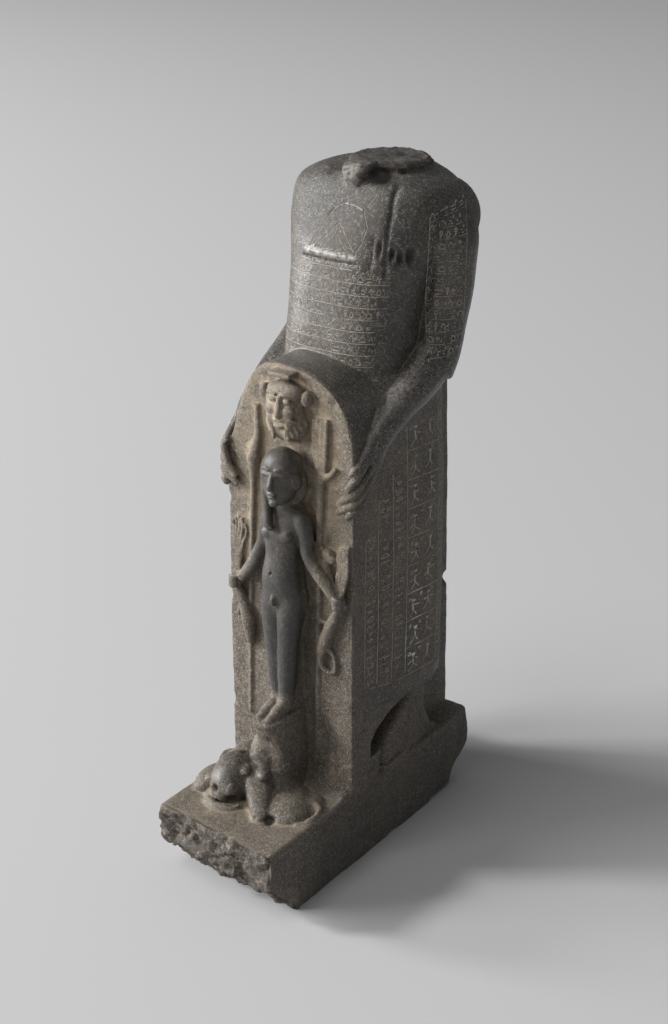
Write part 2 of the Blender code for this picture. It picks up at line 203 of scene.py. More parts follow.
def rings(name, rows, steps=4, sides=56):
    """A closed body through level rings: z, middle x, half width, front y, back y, squareness."""
    rows = smooth_rows(rows, steps)
    nothing_selected()
    bpy.ops.mesh.primitive_circle_add(vertices=sides, radius=1, fill_type="NGON")
    piece = bpy.context.object
    bpy.ops.object.mode_set(mode="EDIT")
    bpy.ops.mesh.select_all(action="SELECT")
    for _ in rows[1:]:
        bpy.ops.mesh.extrude_region_move(TRANSFORM_OT_translate={"value": (0, 0, 1)})
    bpy.ops.object.mode_set(mode="OBJECT")
    unit = points_of(piece)
    z, x, half, front, back, square = rows[np.round(unit[:, 2]).astype(int)].T
    turn = np.arctan2(unit[:, 1], unit[:, 0])
    across = np.sign(np.cos(turn)) * np.abs(np.cos(turn)) ** (2 / square)
    along = np.sign(np.sin(turn)) * np.abs(np.sin(turn)) ** (2 / square)
    place = [x + half * across, (front + back) / 2 + (back - front) / 2 * along, z]
    move_points(piece, np.stack(place, axis=1))
    in_edit_mode(bpy.ops.mesh.normals_make_consistent, inside=False)
    return settled(name)


# %% Garment
inside = 0.020
garment = rings(
    "garment",
    [
        (HEM, 0, 0.0632, SLAB_BACK - inside, 0.108, 4.4),
        (0.200, 0, 0.0640, SLAB_BACK - inside, 0.108, 4.4),
        (0.280, 0, 0.0635, SLAB_BACK - inside, 0.109, 4.2),
        (0.345, 0, 0.0620, SLAB_BACK - inside, 0.112, 3.6),
        (0.385, 0, 0.0600, SLAB_BACK - inside, 0.117, 2.8),
        (0.410, 0, 0.0570, SLAB_BACK, 0.117, 2.4),
    ],
)
points = points_of(garment)
dip = 0.012 * np.clip(1 - ((points[:, 1] - 0.056) / 0.056) ** 2, 0, 1)
points[:, 2] -= dip * (1 - ramp(points[:, 2], HEM, HEM + 0.02))
move_points(garment, points)
print("garment", garment.dimensions)

# %% Torso
torso = rings(
    "torso",
    [
        (0.380, 0, 0.0530, 0.001, 0.117, 3.0),
        (0.425, 0, 0.0530, 0.002, 0.117, 3.0),
        (0.455, 0, 0.0540, 0.008, 0.119, 2.9),
        (0.485, 0, 0.0590, 0.015, 0.122, 2.7),
        (0.508, 0, 0.0645, 0.020, 0.124, 2.5),
        (0.526, 0, 0.0685, 0.027, 0.125, 2.4),
        (0.541, 0, 0.0672, 0.034, 0.125, 2.4),
        (0.549, 0, 0.0580, 0.040, 0.123, 2.4),
        (0.5545, 0, 0.0440, 0.046, 0.120, 2.3),
    ],
)
print("torso", torso.dimensions)

# %% [markdown]
# The head is lost. The break leaves an uneven stump of the neck and, in front of it, a stub of the beard.
# Both are short stacks of rings, and one soft push lifts the middle of the neck.


# %% Neck and stub of the beard
def ball(points, centre, radius):
    """1 at the centre, falling smoothly to 0 at the radius (a number or three)."""
    away = np.linalg.norm((points - centre) / radius, axis=1)
    return 1 - ramp(away, 0, 1)


neck = rings(
    "neck",
    [
        (0.540, 0.006, 0.0365, 0.054, 0.116, 2.2),
        (0.551, 0.007, 0.0352, 0.055, 0.114, 2.2),
        (0.5575, 0.008, 0.0325, 0.055, 0.112, 2.2),
        (0.5610, 0.009, 0.0275, 0.059, 0.107, 2.2),
    ],
)
points = points_of(neck)
points[:, 2] += 0.0028 * ball(points, (0.009, 0.080, 0.561), 0.036)
move_points(neck, points)
beard_stub = rings(
    "beard_stub",
    [
        (0.5440, 0.0060, 0.0040, 0.0365, 0.0500, 4),
        (0.5500, 0.0050, 0.0070, 0.0370, 0.0540, 4),
        (0.5560, 0.0035, 0.0098, 0.0380, 0.0580, 4),
        (0.5600, 0.0030, 0.0108, 0.0400, 0.0600, 4),
        (0.5615, 0.0030, 0.0095, 0.0420, 0.0600, 4),
    ],
    sides=32,
)

# %% [markdown]
# ## The back pillar
#
# A flat pillar carries the figure from behind and bears four columns of signs. It narrows a little towards
# its top. Two rings would do for a plain taper, and two more round off its upper end.

# %% Back pillar
pillar = rings(
    "pillar",
    [
        (SUNK, 0, 0.0375, 0.096, PILLAR_BACK, 18),
        (0.300, 0, 0.0322, 0.096, PILLAR_BACK, 18),
        (0.511, 0, 0.0258, 0.100, PILLAR_BACK - 0.003, 16),
        (0.521, 0, 0.0228, 0.104, PILLAR_BACK - 0.007, 10),
    ],
    steps=2,
    sides=64,
)

# %% [markdown]
# ## The arms
#
# Stone is left between arm and body, as on most Egyptian statues, so the arms may run into the torso. A
# limb is a curve with a round bevel, whose radius changes from point to point. That is far shorter to
# write than a lofted mesh, and it bends by itself. Balls round off the backs of the shoulders.


# %% Limbs, pebbles and mirrored pairs
def limb(name, rows, steps=5, sides=16):
    """A round body through rows of x, y, z and radius."""
    curve = bpy.data.curves.new(name, "CURVE")
    curve.dimensions = "3D"
    curve.bevel_depth = 1
    curve.bevel_resolution = (sides - 4) // 2
    curve.use_fill_caps = True
    points = smooth_rows(rows, steps)
    spline = curve.splines.new("POLY")
    spline.points.add(len(points) - 1)
    for point, (x, y, z, radius) in zip(spline.points, points):
        point.co = (x, y, z, 1)
        point.radius = max(radius, 0.0002)
    piece = bpy.data.objects.new(name, curve)
    bpy.context.scene.collection.objects.link(piece)
    picked(piece)
    bpy.ops.object.convert(target="MESH")
    in_edit_mode(bpy.ops.mesh.remove_doubles, threshold=0.00001)
    return settled(name)


def pebble(name, centre, size, turn=(0, 0, 0)):
    """A stretched ball with half axes `size`, turned by degrees."""
    nothing_selected()
    bpy.ops.mesh.primitive_uv_sphere_add(
        segments=28,
        ring_count=18,
        radius=1,
        location=centre,
        rotation=[math.radians(angle) for angle in turn],
        scale=size,
    )
    return settled(name)


def both_sides(make, name, *rows, **more):
    """The same form on the figure's left and, mirrored, on its right."""
    found = []
    for side, word in SIDES:
        mirrored = [(side * row[0], *row[1:]) for row in rows]
        found.append(make(f"{name}_{word}", mirrored, **more))
    return found


# %% Arms and shoulders
reach = 0.0610
arms = both_sides(
    limb,
    "upper_arm",
    (0.0350, 0.084, 0.5240, 0.0240),
    (0.0520, 0.086, 0.5200, 0.0265),
    (reach, 0.086, 0.5080, 0.0228),
    (reach + 0.0010, 0.086, 0.4880, 0.0210),
    (reach, 0.0845, 0.4650, 0.0205),
    (reach - 0.0020, 0.0810, 0.4430, 0.0200),
    (reach - 0.0010, 0.0730, 0.4200, 0.0195),
    (reach, 0.0630, 0.4040, 0.0180),
) + both_sides(
    limb,
    "forearm",
    (reach - 0.0010, 0.065, 0.412, 0.0185),
    (reach - 0.0005, 0.043, 0.399, 0.0165),
    (reach - 0.0005, 0.016, 0.386, 0.0135),
    (reach - 0.0005, -0.008, 0.368, 0.0108),
    (reach - 0.0010, -0.016, 0.352, 0.0090),
)
for side, word in SIDES:
    arms.append(pebble(f"{word}_shoulder", (side * 0.0490, 0.0915, 0.5185), (0.0290, 0.0345, 0.0320)))
print("arms", len(arms), "forms")

# %% [markdown]
# ## Feet under the hem
#
# The left foot is forward. Both stand in shallow niches under the hem, so the stone before and between
# them stays. Foot and leg together are one side outline, drawn as a flat polygon, extruded and rounded. A
# lathe or a ring body can't turn the ankle's corner as simply. Five limbs make the toes, and a thin one
# the edge of the sole.


# %% Bodies of one outline
def extruded(name, outline, along):
    """A body of one flat outline of points, drawn out by the vector `along`."""
    nothing_selected()
    bpy.ops.mesh.primitive_circle_add(vertices=len(outline), radius=1, fill_type="NGON")
    move_points(bpy.context.object, np.array(outline))
    in_edit_mode(bpy.ops.mesh.extrude_region_move, TRANSFORM_OT_translate={"value": along})
    in_edit_mode(bpy.ops.mesh.normals_make_consistent, inside=False)
    return settled(name)


def side_profile(name, outline, start, end):
    """A body of one outline of (y, z), from x = start to x = end."""
    return extruded(name, [(start, y, z) for y, z in outline], (end - start, 0, 0))


# %% The stone before a foot
def stone_before(word, side, back):
    """The stone between the stela and the niche of one foot, over which the hem runs."""
    edge = [
        (-0.0114, SUNK),
        (-0.0114, 0.0800),
        (-0.0110, 0.1007),
        (-0.0033, 0.1133),
        (0.0185, 0.1223),
        (0.0420, 0.1265),
        (0.0600, HEM + 0.02),
    ]
    outline = [(FACE, SUNK), *[(back + y, z) for y, z in edge], (FACE, HEM + 0.02)]
    return side_profile(f"stone_before_{word}_foot", outline, side * 0.018, side * (SLAB_HALF - 0.0008))


# %% Leg and foot
def leg_and_foot(word, side, back):
    """Heel, ankle, shin and instep in one outline. The outer side bulges at toes and calf."""
    outline = [
        (0.0985, SUNK),
        (0.0985, 0.0700),
        (0.0925, 0.0790),
        (0.0850, 0.0900),
        (0.0805, 0.1030),
        (0.0780, 0.1176),
        (0.0785, 0.1500),
        (0.0480, 0.1500),
        (0.0500, 0.1250),
        (0.0440, 0.1125),
        (0.0330, 0.1030),
        (0.0200, 0.0945),
        (0.0140, 0.0870),
        (0.0130, SUNK),
    ]
    outline = [(back + y, z) for y, z in outline]
    body = side_profile(f"{word}_foot", outline, side * 0.022, side * 0.0520)
    in_edit_mode(bpy.ops.mesh.bevel, offset=0.0062, segments=4, affect="EDGES")
    points = points_of(body)
    outer = ramp(side * points[:, 0], 0.030, 0.052)
    points[:, 0] += side * outer * (0.0040 - 0.070 * (points[:, 1] - back - 0.02))
    points[:, 0] += side * outer * 0.0045 * ramp(points[:, 2], 0.085, 0.125)
    move_points(body, points)
    return body


# %% Toes and sole
def toes_of(word, side, back):
    """Five toes side by side, each a little further back than the one inside it."""
    toes = []
    for number in range(5):
        x = side * (0.0545 - 0.0062 * (4 - number))
        tip = back - 0.0060 + 0.0058 * number
        size = 0.0048 if number == 0 else 0.0031
        rows = [
            (x, tip + 0.026, GROUND + 0.0215, size),
            (x, tip + 0.014, GROUND + 0.0150, size),
            (x, tip + 0.006, GROUND + 0.0090, size * 0.95),
            (x, tip + 0.0005, GROUND + 0.0045, size * 0.85),
        ]
        toes.append(limb(f"{word}_toe_{number + 1}", rows))
    return toes


def sole_of(word, side, back):
    rows = [
        (side * 0.0400, back + 0.0040, GROUND + 0.0010, 0.0022),
        (side * 0.0565, back + 0.0160, GROUND + 0.0010, 0.0022),
        (side * 0.0562, back + 0.0380, GROUND + 0.0012, 0.0020),
        (side * 0.0525, back + 0.0650, GROUND + 0.0012, 0.0020),
        (side * 0.0500, back + 0.0985, GROUND + 0.0010, 0.0020),
    ]
    return limb(f"{word}_sole", rows, sides=10)


# %% Both feet
def foot(word, side, back):
    """All forms of one foot in its niche, moved back by `back`."""
    before = stone_before(word, side, back)
    body = leg_and_foot(word, side, back)
    return [before, body, *toes_of(word, side, back), sole_of(word, side, back)]


feet = foot("left", 1, 0.0) + foot("right", -1, 0.021)
between = block("between", (-0.028, FACE, SUNK), (0.028, 0.125, HEM + 0.02), 0.001)
print("feet", len(feet), "forms")

# %% [markdown]
# ## The stela
#
# A thick slab with an arched top, lower on its worn right side, so the arch is not half a circle but a
# smooth curve through a few points. Above the hem the slab runs back into the garment. Below it stops
# before the feet. Its foot runs out over the plinth in a hollow curve, which a stack of rings gives.

# %% Stela
arch = [
    (SLAB_HALF, SPRING),
    (0.0604, 0.366),
    (0.0568, 0.384),
    (0.0500, 0.399),
    (0.0375, 0.412),
    (0.0205, 0.420),
    (0.0000, SLAB_TOP),
    (-0.0210, 0.422),
    (-0.0335, 0.413),
    (-0.0410, 0.401),
    (-0.0480, 0.384),
    (-0.0548, 0.362),
    (-SLAB_HALF, SPRING),
]


def arched(name, bottom, front, back):
    """A body with the outline of the stela above `bottom`, between two depths."""
    outline = [(SLAB_HALF, bottom), (SLAB_HALF + 0.0002, 0.2), *smooth_rows(arch, 4)]
    outline += [(-SLAB_HALF - 0.0012, 0.2), (-SLAB_HALF - 0.0016, bottom)]
    return extruded(name, [(x, front, z) for x, z in outline], (0, back - front, 0))


stela = [
    arched("stela", SUNK, FACE, SLAB_BACK - 0.0070),
    arched("stela_back", HEM + 0.012, SLAB_BACK - 0.0080, 0.022),
]
print("stela", stela[0].dimensions)

# %% Apron of the stela
apron = rings(
    "apron",
    [
        (GROUND - 0.004, 0, SLAB_HALF - 0.002, FACE - 0.018, 0.010, 8),
        (GROUND + 0.001, 0, SLAB_HALF - 0.002, FACE - 0.011, 0.010, 8),
        (GROUND + 0.006, 0, SLAB_HALF - 0.001, FACE - 0.005, 0.010, 8),
        (GROUND + 0.014, 0, SLAB_HALF - 0.001, FACE - 0.0015, 0.010, 8),
        (GROUND + 0.024, 0, SLAB_HALF, FACE + 0.001, 0.010, 8),
    ],
)

# %% [markdown]
# ## The child god
#
# The child stands almost free of the slab, both feet together, with a side lock on his right. He has the
# soft belly and heavy head of a child, and his long arms reach out to grip snakes and beasts. The trunk is
# a stack of level rings, because its outline changes slowly. The limbs are bevelled curves. In relief it
# matters most how far a form stands out of the slab, so its rows say that instead of y.

# %% Child: trunk
trunk = rings(
    "child_trunk",
    [
        (0.192, 0.0008, 0.0085, FACE - 0.0130, ROOT, 2.3),
        (0.204, 0.0009, 0.0115, FACE - 0.0155, ROOT, 2.3),
        (0.216, 0.0010, 0.0148, FACE - 0.0185, ROOT, 2.3),
        (0.226, 0.0011, 0.0172, FACE - 0.0205, ROOT, 2.3),
        (0.237, 0.0012, 0.0182, FACE - 0.0220, ROOT, 2.3),
        (0.247, 0.0011, 0.0178, FACE - 0.0245, ROOT, 2.2),
        (0.256, 0.0009, 0.0170, FACE - 0.0252, ROOT, 2.2),
        (0.265, 0.0008, 0.0158, FACE - 0.0232, ROOT, 2.2),
        (0.274, 0.0007, 0.0152, FACE - 0.0214, ROOT, 2.2),
        (0.284, 0.0008, 0.0160, FACE - 0.0212, ROOT, 2.3),
        (0.293, 0.0014, 0.0172, FACE - 0.0218, ROOT, 2.4),
        (0.301, 0.0022, 0.0184, FACE - 0.0205, ROOT, 2.5),
        (0.308, 0.0028, 0.0184, FACE - 0.0185, ROOT, 2.4),
        (0.314, 0.0031, 0.0150, FACE - 0.0170, ROOT, 2.2),
        (0.318, 0.0032, 0.0095, FACE - 0.0165, FACE + 0.004, 2.0),
    ],
    sides=40,
)
print("trunk", trunk.dimensions)


# %% Child: legs and feet
def ridge(name, *rows, **more):
    """A limb in relief, through rows of x, how far it stands out of the stela, z and radius."""
    return limb(name, [(x, FACE - out, z, radius) for x, out, z, radius in rows], **more)


def boss(name, place, size, turn=(0, 0, 0)):
    """A pebble in relief, at x, how far it stands out of the stela, and z."""
    x, out, z = place
    return pebble(name, (x, FACE - out, z), size, turn)


child = [
    trunk,
    ridge(
        "child_left_leg",
        (0.0085, 0.0085, 0.2500, 0.0085),
        (0.0094, 0.0100, 0.2380, 0.0112),
        (0.0088, 0.0120, 0.222, 0.0110),
        (0.0080, 0.0126, 0.208, 0.0100),
        (0.0073, 0.0130, 0.195, 0.0090),
        (0.0070, 0.0132, 0.184, 0.0084),
        (0.0066, 0.0134, 0.170, 0.0080),
        (0.0062, 0.0138, 0.158, 0.0072),
        (0.0060, 0.0145, 0.150, 0.0066),
        (0.0058, 0.0160, 0.143, 0.0070),
    ),
    ridge(
        "child_right_leg",
        (-0.0068, 0.0085, 0.2500, 0.0085),
        (-0.0074, 0.0100, 0.2380, 0.0108),
        (-0.0070, 0.0118, 0.222, 0.0104),
        (-0.0066, 0.0120, 0.208, 0.0094),
        (-0.0060, 0.0122, 0.195, 0.0086),
        (-0.0056, 0.0120, 0.184, 0.0078),
        (-0.0051, 0.0118, 0.170, 0.0074),
        (-0.0046, 0.0116, 0.158, 0.0066),
        (-0.0044, 0.0118, 0.150, 0.0060),
        (-0.0046, 0.0130, 0.144, 0.0064),
    ),
    ridge(
        "child_left_foot",
        (0.0060, 0.0140, 0.1435, 0.0068),
        (0.0062, 0.0260, 0.1400, 0.0056),
        (0.0060, 0.0370, 0.1362, 0.0046),
        (0.0058, 0.0445, 0.1338, 0.0032),
    ),
    ridge(
        "child_right_foot",
        (-0.0046, 0.0120, 0.1430, 0.0062),
        (-0.0046, 0.0240, 0.1395, 0.0052),
        (-0.0048, 0.0340, 0.1358, 0.0044),
        (-0.0050, 0.0405, 0.1335, 0.0030),
    ),
    ridge(
        "child_sex",
        (0.0004, 0.0215, 0.2405, 0.0026),
        (0.0003, 0.0232, 0.2370, 0.0026),
        (0.0002, 0.0226, 0.2325, 0.0019),
        sides=10,
    ),
    boss("child_left_breast", (0.0100, 0.0180, 0.2935), (0.0066, 0.0046, 0.0056)),
    boss("child_right_breast", (-0.0072, 0.0180, 0.2920), (0.0064, 0.0046, 0.0054)),
    boss("child_left_buttock", (0.0130, 0.0070, 0.2360), (0.0090, 0.0090, 0.0140)),
]

# %% Child: arms and hands
child += [
    ridge(
        "child_left_arm",
        (0.0150, 0.0090, 0.3080, 0.0066),
        (0.0200, 0.0095, 0.3035, 0.0070),
        (0.0228, 0.0095, 0.2930, 0.0064),
        (0.0242, 0.0095, 0.2810, 0.0058),
        (0.0300, 0.0090, 0.2700, 0.0057),
        (0.0385, 0.0085, 0.2600, 0.0053),
        (0.0450, 0.0078, 0.2515, 0.0047),
        (0.0495, 0.0072, 0.2460, 0.0042),
    ),
    boss("child_left_hand", (0.0522, 0.0068, 0.2440), (0.0056, 0.0056, 0.0064)),
    ridge(
        "child_right_arm",
        (-0.0100, 0.0090, 0.3070, 0.0062),
        (-0.0135, 0.0088, 0.3000, 0.0066),
        (-0.0160, 0.0085, 0.2880, 0.0062),
        (-0.0200, 0.0080, 0.2760, 0.0058),
        (-0.0262, 0.0078, 0.2640, 0.0056),
        (-0.0325, 0.0074, 0.2540, 0.0053),
        (-0.0390, 0.0070, 0.2450, 0.0048),
        (-0.0450, 0.0065, 0.2385, 0.0043),
    ),
    boss("child_right_hand", (-0.0500, 0.0058, 0.2350), (0.0058, 0.0052, 0.0058)),
]
for side, word, x, z in ((1, "left", 0.0522, 0.2440), (-1, "right", -0.0500, 0.2350)):
    for number in range(4):
        height = z + 0.0042 - number * 0.0028
        rows = [
            (x - side * 0.0035, 0.0100, height + 0.0006, 0.0015),
            (x, 0.0117, height, 0.0017),
            (x + side * 0.0040, 0.0100, height - 0.0008, 0.0014),
        ]
        child.append(ridge(f"child_{word}_finger_{number + 1}", *rows, sides=10))
print("child without head", len(child), "forms")

# %% [markdown]
# ### The child's head
#
# A skull, a jaw and a close cap of hair make the mass. On it lie the features: brow ridge, eyelids, nose,
# lips and chin, an ear, and the plaited lock that curls at its end. Lids and brows are thin limbs, and a
# formula for the front of the skull keeps them on its curve.

# %% Child: head
skull = (0.0032, 0.0130, 0.3438)
skull_size = (0.0166, 0.0170, 0.0195)
child += [
    ridge(
        "child_neck",
        (0.0032, 0.0100, 0.306, 0.0088),
        (0.0034, 0.0110, 0.318, 0.0080),
        (0.0035, 0.0120, 0.330, 0.0088),
    ),
    boss("child_skull", skull, skull_size),
    boss("child_cheeks", (0.0048, 0.0170, 0.3345), (0.0132, 0.0138, 0.0148)),
    boss("child_jaw", (0.0054, 0.0198, 0.3272), (0.0094, 0.0098, 0.0080)),
    boss("child_chin", (0.0058, 0.0272, 0.3232), (0.0044, 0.0034, 0.0034)),
    boss("child_hair", (0.0032, 0.0050, 0.3330), (0.0170, 0.0110, 0.0185)),
    ridge(
        "child_nose",
        (0.0060, 0.0288, 0.3480, 0.0016),
        (0.0062, 0.0304, 0.3425, 0.0021),
        (0.0063, 0.0318, 0.3378, 0.0030),
        (0.0063, 0.0306, 0.3358, 0.0028),
        sides=12,
    ),
    boss("child_upper_lip", (0.0062, 0.0300, 0.3318), (0.0050, 0.0026, 0.0014)),
    boss("child_lower_lip", (0.0061, 0.0292, 0.3288), (0.0042, 0.0026, 0.0014)),
    boss("child_ear", (0.0200, 0.0165, 0.3400), (0.0030, 0.0044, 0.0064), (10, 0, -20)),
    ridge(
        "side_lock",
        (-0.0102, 0.0160, 0.3420, 0.0036),
        (-0.0092, 0.0175, 0.3300, 0.0040),
        (-0.0072, 0.0190, 0.3190, 0.0040),
        (-0.0050, 0.0215, 0.3090, 0.0039),
        (-0.0034, 0.0230, 0.3030, 0.0041),
        (-0.0008, 0.0238, 0.3000, 0.0035),
        (0.0012, 0.0235, 0.3020, 0.0024),
    ),
]


# %% Child: eyes and brows
def on_skull(x, z):
    """How far forward the skull lies at this place."""
    away = ((x - skull[0]) / skull_size[0]) ** 2 + ((z - skull[2]) / skull_size[2]) ** 2
    return FACE - skull[1] - skull_size[1] * math.sqrt(1 - away)


eye_level, lid_level, brow_level = 0.3456, 0.3472, 0.3512
for side, word in reversed(SIDES):
    eye = 0.0060 + side * 0.0064
    lid, brow = [], []
    for share in (-1, -0.4, 0.2, 0.7, 1):
        x = eye + side * share * 0.0042
        z = lid_level - 0.0011 * share**2
        lid.append((x, on_skull(x, z) - 0.0002, z, 0.0010))
        z = brow_level - 0.0012 * share**2
        brow.append((x, on_skull(x, z) - 0.0002, z, 0.0012))
    ball_place = (eye, on_skull(eye, eye_level) + 0.0006, eye_level)
    child += [
        pebble(f"child_{word}_eye", ball_place, (0.0033, 0.0022, 0.0016)),
        limb(f"child_{word}_lid", lid, sides=8),
        limb(f"child_{word}_brow", brow, sides=8),
    ]

# %% [markdown]
# ### What the child stands on
#
# Below the feet a rough column of stone goes down to the crocodiles. Its front was broken away long ago. A
# thin web of stone was left behind the legs, so that they don't stand free.

# %% Child: column under the feet
column = rings(
    "child_column",
    [
        (0.068, -0.0030, 0.0215, FACE - 0.0360, ROOT, 4),
        (0.080, -0.0020, 0.0200, FACE - 0.0340, ROOT, 4),
        (0.095, 0.0000, 0.0180, FACE - 0.0325, ROOT, 4),
        (0.105, 0.0010, 0.0165, FACE - 0.0330, ROOT, 4),
        (0.115, 0.0018, 0.0155, FACE - 0.0350, ROOT, 4),
        (0.124, 0.0022, 0.0148, FACE - 0.0385, ROOT, 4),
        (0.132, 0.0024, 0.0140, FACE - 0.0430, ROOT, 4),
        (0.1370, 0.0024, 0.0125, FACE - 0.0455, ROOT, 4),
    ],
    sides=48,
)
mound = boss("child_column_mound", (-0.0070, 0.0190, 0.0940), (0.0165, 0.0185, 0.0240))
web = rings(
    "child_web",
    [
        (0.125, 0.0010, 0.0130, FACE - 0.0135, ROOT, 6),
        (0.180, 0.0010, 0.0105, FACE - 0.0115, ROOT, 6),
        (0.230, 0.0010, 0.0120, FACE - 0.0100, ROOT, 6),
    ],
    sides=32,
)
child += [column, mound, web]
print("child", len(child), "forms")

# %% [markdown]
# ## The bearded mask
#
# A broad grotesque face of the dwarf god hangs over the child. It is a flat disk with heavy brows, round
# cheeks, an open mouth, animal ears and a beard of wavy strands. What is left of its crown is one ledge.
# The features are pebbles half sunk in the disk. The strands repeat, so a loop places them.

# %% Mask: face
mask_x = 0.0012  # the middle line of the face
mask = [
    boss("mask_disk", (mask_x - 0.0018, 0.0030, 0.3915), (0.0175, 0.0112, 0.0238)),
    boss("mask_beard", (mask_x, 0.0028, 0.3800), (0.0196, 0.0112, 0.0148)),
    boss("mask_muzzle", (mask_x + 0.0008, 0.0112, 0.3855), (0.0084, 0.0052, 0.0090)),
    boss("mask_forehead", (mask_x, 0.0060, 0.4070), (0.0158, 0.0084, 0.0072)),
    block(
        "mask_crown",
        (mask_x - 0.0122, FACE - 0.0120, 0.4172),
        (mask_x + 0.0086, FACE + 0.004, 0.4215),
        0.0010,
    ),
    ridge(
        "mask_nose",
        (mask_x + 0.0002, 0.0128, 0.4045, 0.0022),
        (mask_x + 0.0006, 0.0144, 0.3975, 0.0026),
        (mask_x + 0.0010, 0.0156, 0.3915, 0.0036),
        (mask_x + 0.0010, 0.0150, 0.3892, 0.0034),
        sides=12,
    ),
    boss("mask_upper_lip", (mask_x + 0.0010, 0.0150, 0.3862), (0.0062, 0.0030, 0.0015)),
    boss("mask_lower_lip", (mask_x + 0.0010, 0.0148, 0.3812), (0.0052, 0.0030, 0.0016)),
]

# %% Mask: brows, eyes, cheeks and beard
for side, word in reversed(SIDES):
    eye = mask_x + side * 0.0068
    brow = []
    for share in (0, 0.4, 0.8, 1.2):
        x = mask_x + side * (0.0020 + 0.0096 * share)
        z = 0.4055 + 0.0032 * share - 0.0032 * share**2
        brow.append((x, FACE - 0.0148 + 0.0034 * share**2, z, 0.0016))
    mask += [
        boss(f"mask_{word}_eye", (eye, 0.0122, 0.4006), (0.0040, 0.0028, 0.0021)),
        boss(f"mask_{word}_cheek", (eye + side * 0.0008, 0.0116, 0.3922), (0.0060, 0.0044, 0.0050)),
        limb(f"mask_{word}_brow", brow, sides=8),
    ]
    for number in range(6):
        x = mask_x + 0.0006 + side * (0.0064 + 0.0023 * number)
        high_end = 0.3885 - 0.0006 * number
        low_end = 0.3690 + 0.0012 * number**1.4
        deep = FACE - 0.0148 + 0.00034 * number**2.1
        strand = []
        for share in (0, 0.25, 0.5, 0.75, 1):
            wave = 0.0010 * math.sin(5.5 * share + number)
            z = high_end + (low_end - high_end) * share
            strand.append((x + side * wave, deep + 0.0016 * share, z, 0.0013))
        mask.append(limb(f"mask_{word}_strand_{number + 1}", strand, sides=8))
mask += [
    boss("mask_left_ear", (0.0202, 0.0030, 0.4030), (0.0044, 0.0056, 0.0062)),
    boss("mask_right_ear", (-0.0196, 0.0035, 0.4020), (0.0046, 0.0055, 0.0062)),
]
print("mask", len(mask), "forms")

# %% [markdown]
# ## Staffs, snakes and beasts
#
# A tall papyrus staff stands on each side. Each hand of the child grips snakes that rise in loose waves,
# and a beast hangs below it by the tail. They are in low relief. Carving them into the slab would take a
# height map, but thin limbs that are half sunk into its face give the same look with a few points each.

# %% Staffs
beasts = [
    ridge(
        "left_staff",
        (0.0262, -0.0004, 0.0980, 0.0026),
        (0.0272, -0.0002, 0.1600, 0.0028),
        (0.0284, 0.0002, 0.2200, 0.0032),
        (0.0296, 0.0006, 0.2800, 0.0036),
        (0.0312, 0.0010, 0.3200, 0.0038),
        (0.0318, 0.0012, 0.3440, 0.0042),
        sides=12,
    ),
    ridge(
        "left_staff_bud",
        (0.0325, 0.0012, 0.3400, 0.0030),
        (0.0395, 0.0016, 0.3450, 0.0026),
        (0.0462, 0.0016, 0.3520, 0.0022),
        sides=12,
    ),
    ridge(
        "right_staff",
        (-0.0425, -0.0002, 0.1120, 0.0020),
        (-0.0412, 0.0000, 0.1700, 0.0021),
        (-0.0390, 0.0004, 0.2350, 0.0023),
        (-0.0362, 0.0008, 0.2900, 0.0025),
        (-0.0345, 0.0010, 0.3240, 0.0030),
        (-0.0332, 0.0012, 0.3380, 0.0056),
        (-0.0328, 0.0014, 0.3450, 0.0064),
        (-0.0300, 0.0012, 0.3560, 0.0044),
        (-0.0288, 0.0010, 0.3680, 0.0032),
        (-0.0302, 0.0006, 0.3880, 0.0026),
        sides=12,
    ),
    boss("right_staff_lip", (-0.0328, 0.0022, 0.3465), (0.0074, 0.0030, 0.0012)),
]
for number in range(4):
    stem_x = 0.0258 + 0.0038 * number
    rows = [
        (0.0298 + 0.0012 * number, 0.0012, 0.3420, 0.0020),
        (0.0276 + 0.0030 * number, 0.0020, 0.3560, 0.0022),
        (stem_x, 0.0020, 0.3740, 0.0023),
        (stem_x, 0.0010, 0.3880 + 0.0006 * number, 0.0021),
    ]
    beasts.append(ridge(f"left_staff_stem_{number + 1}", *rows, sides=10))

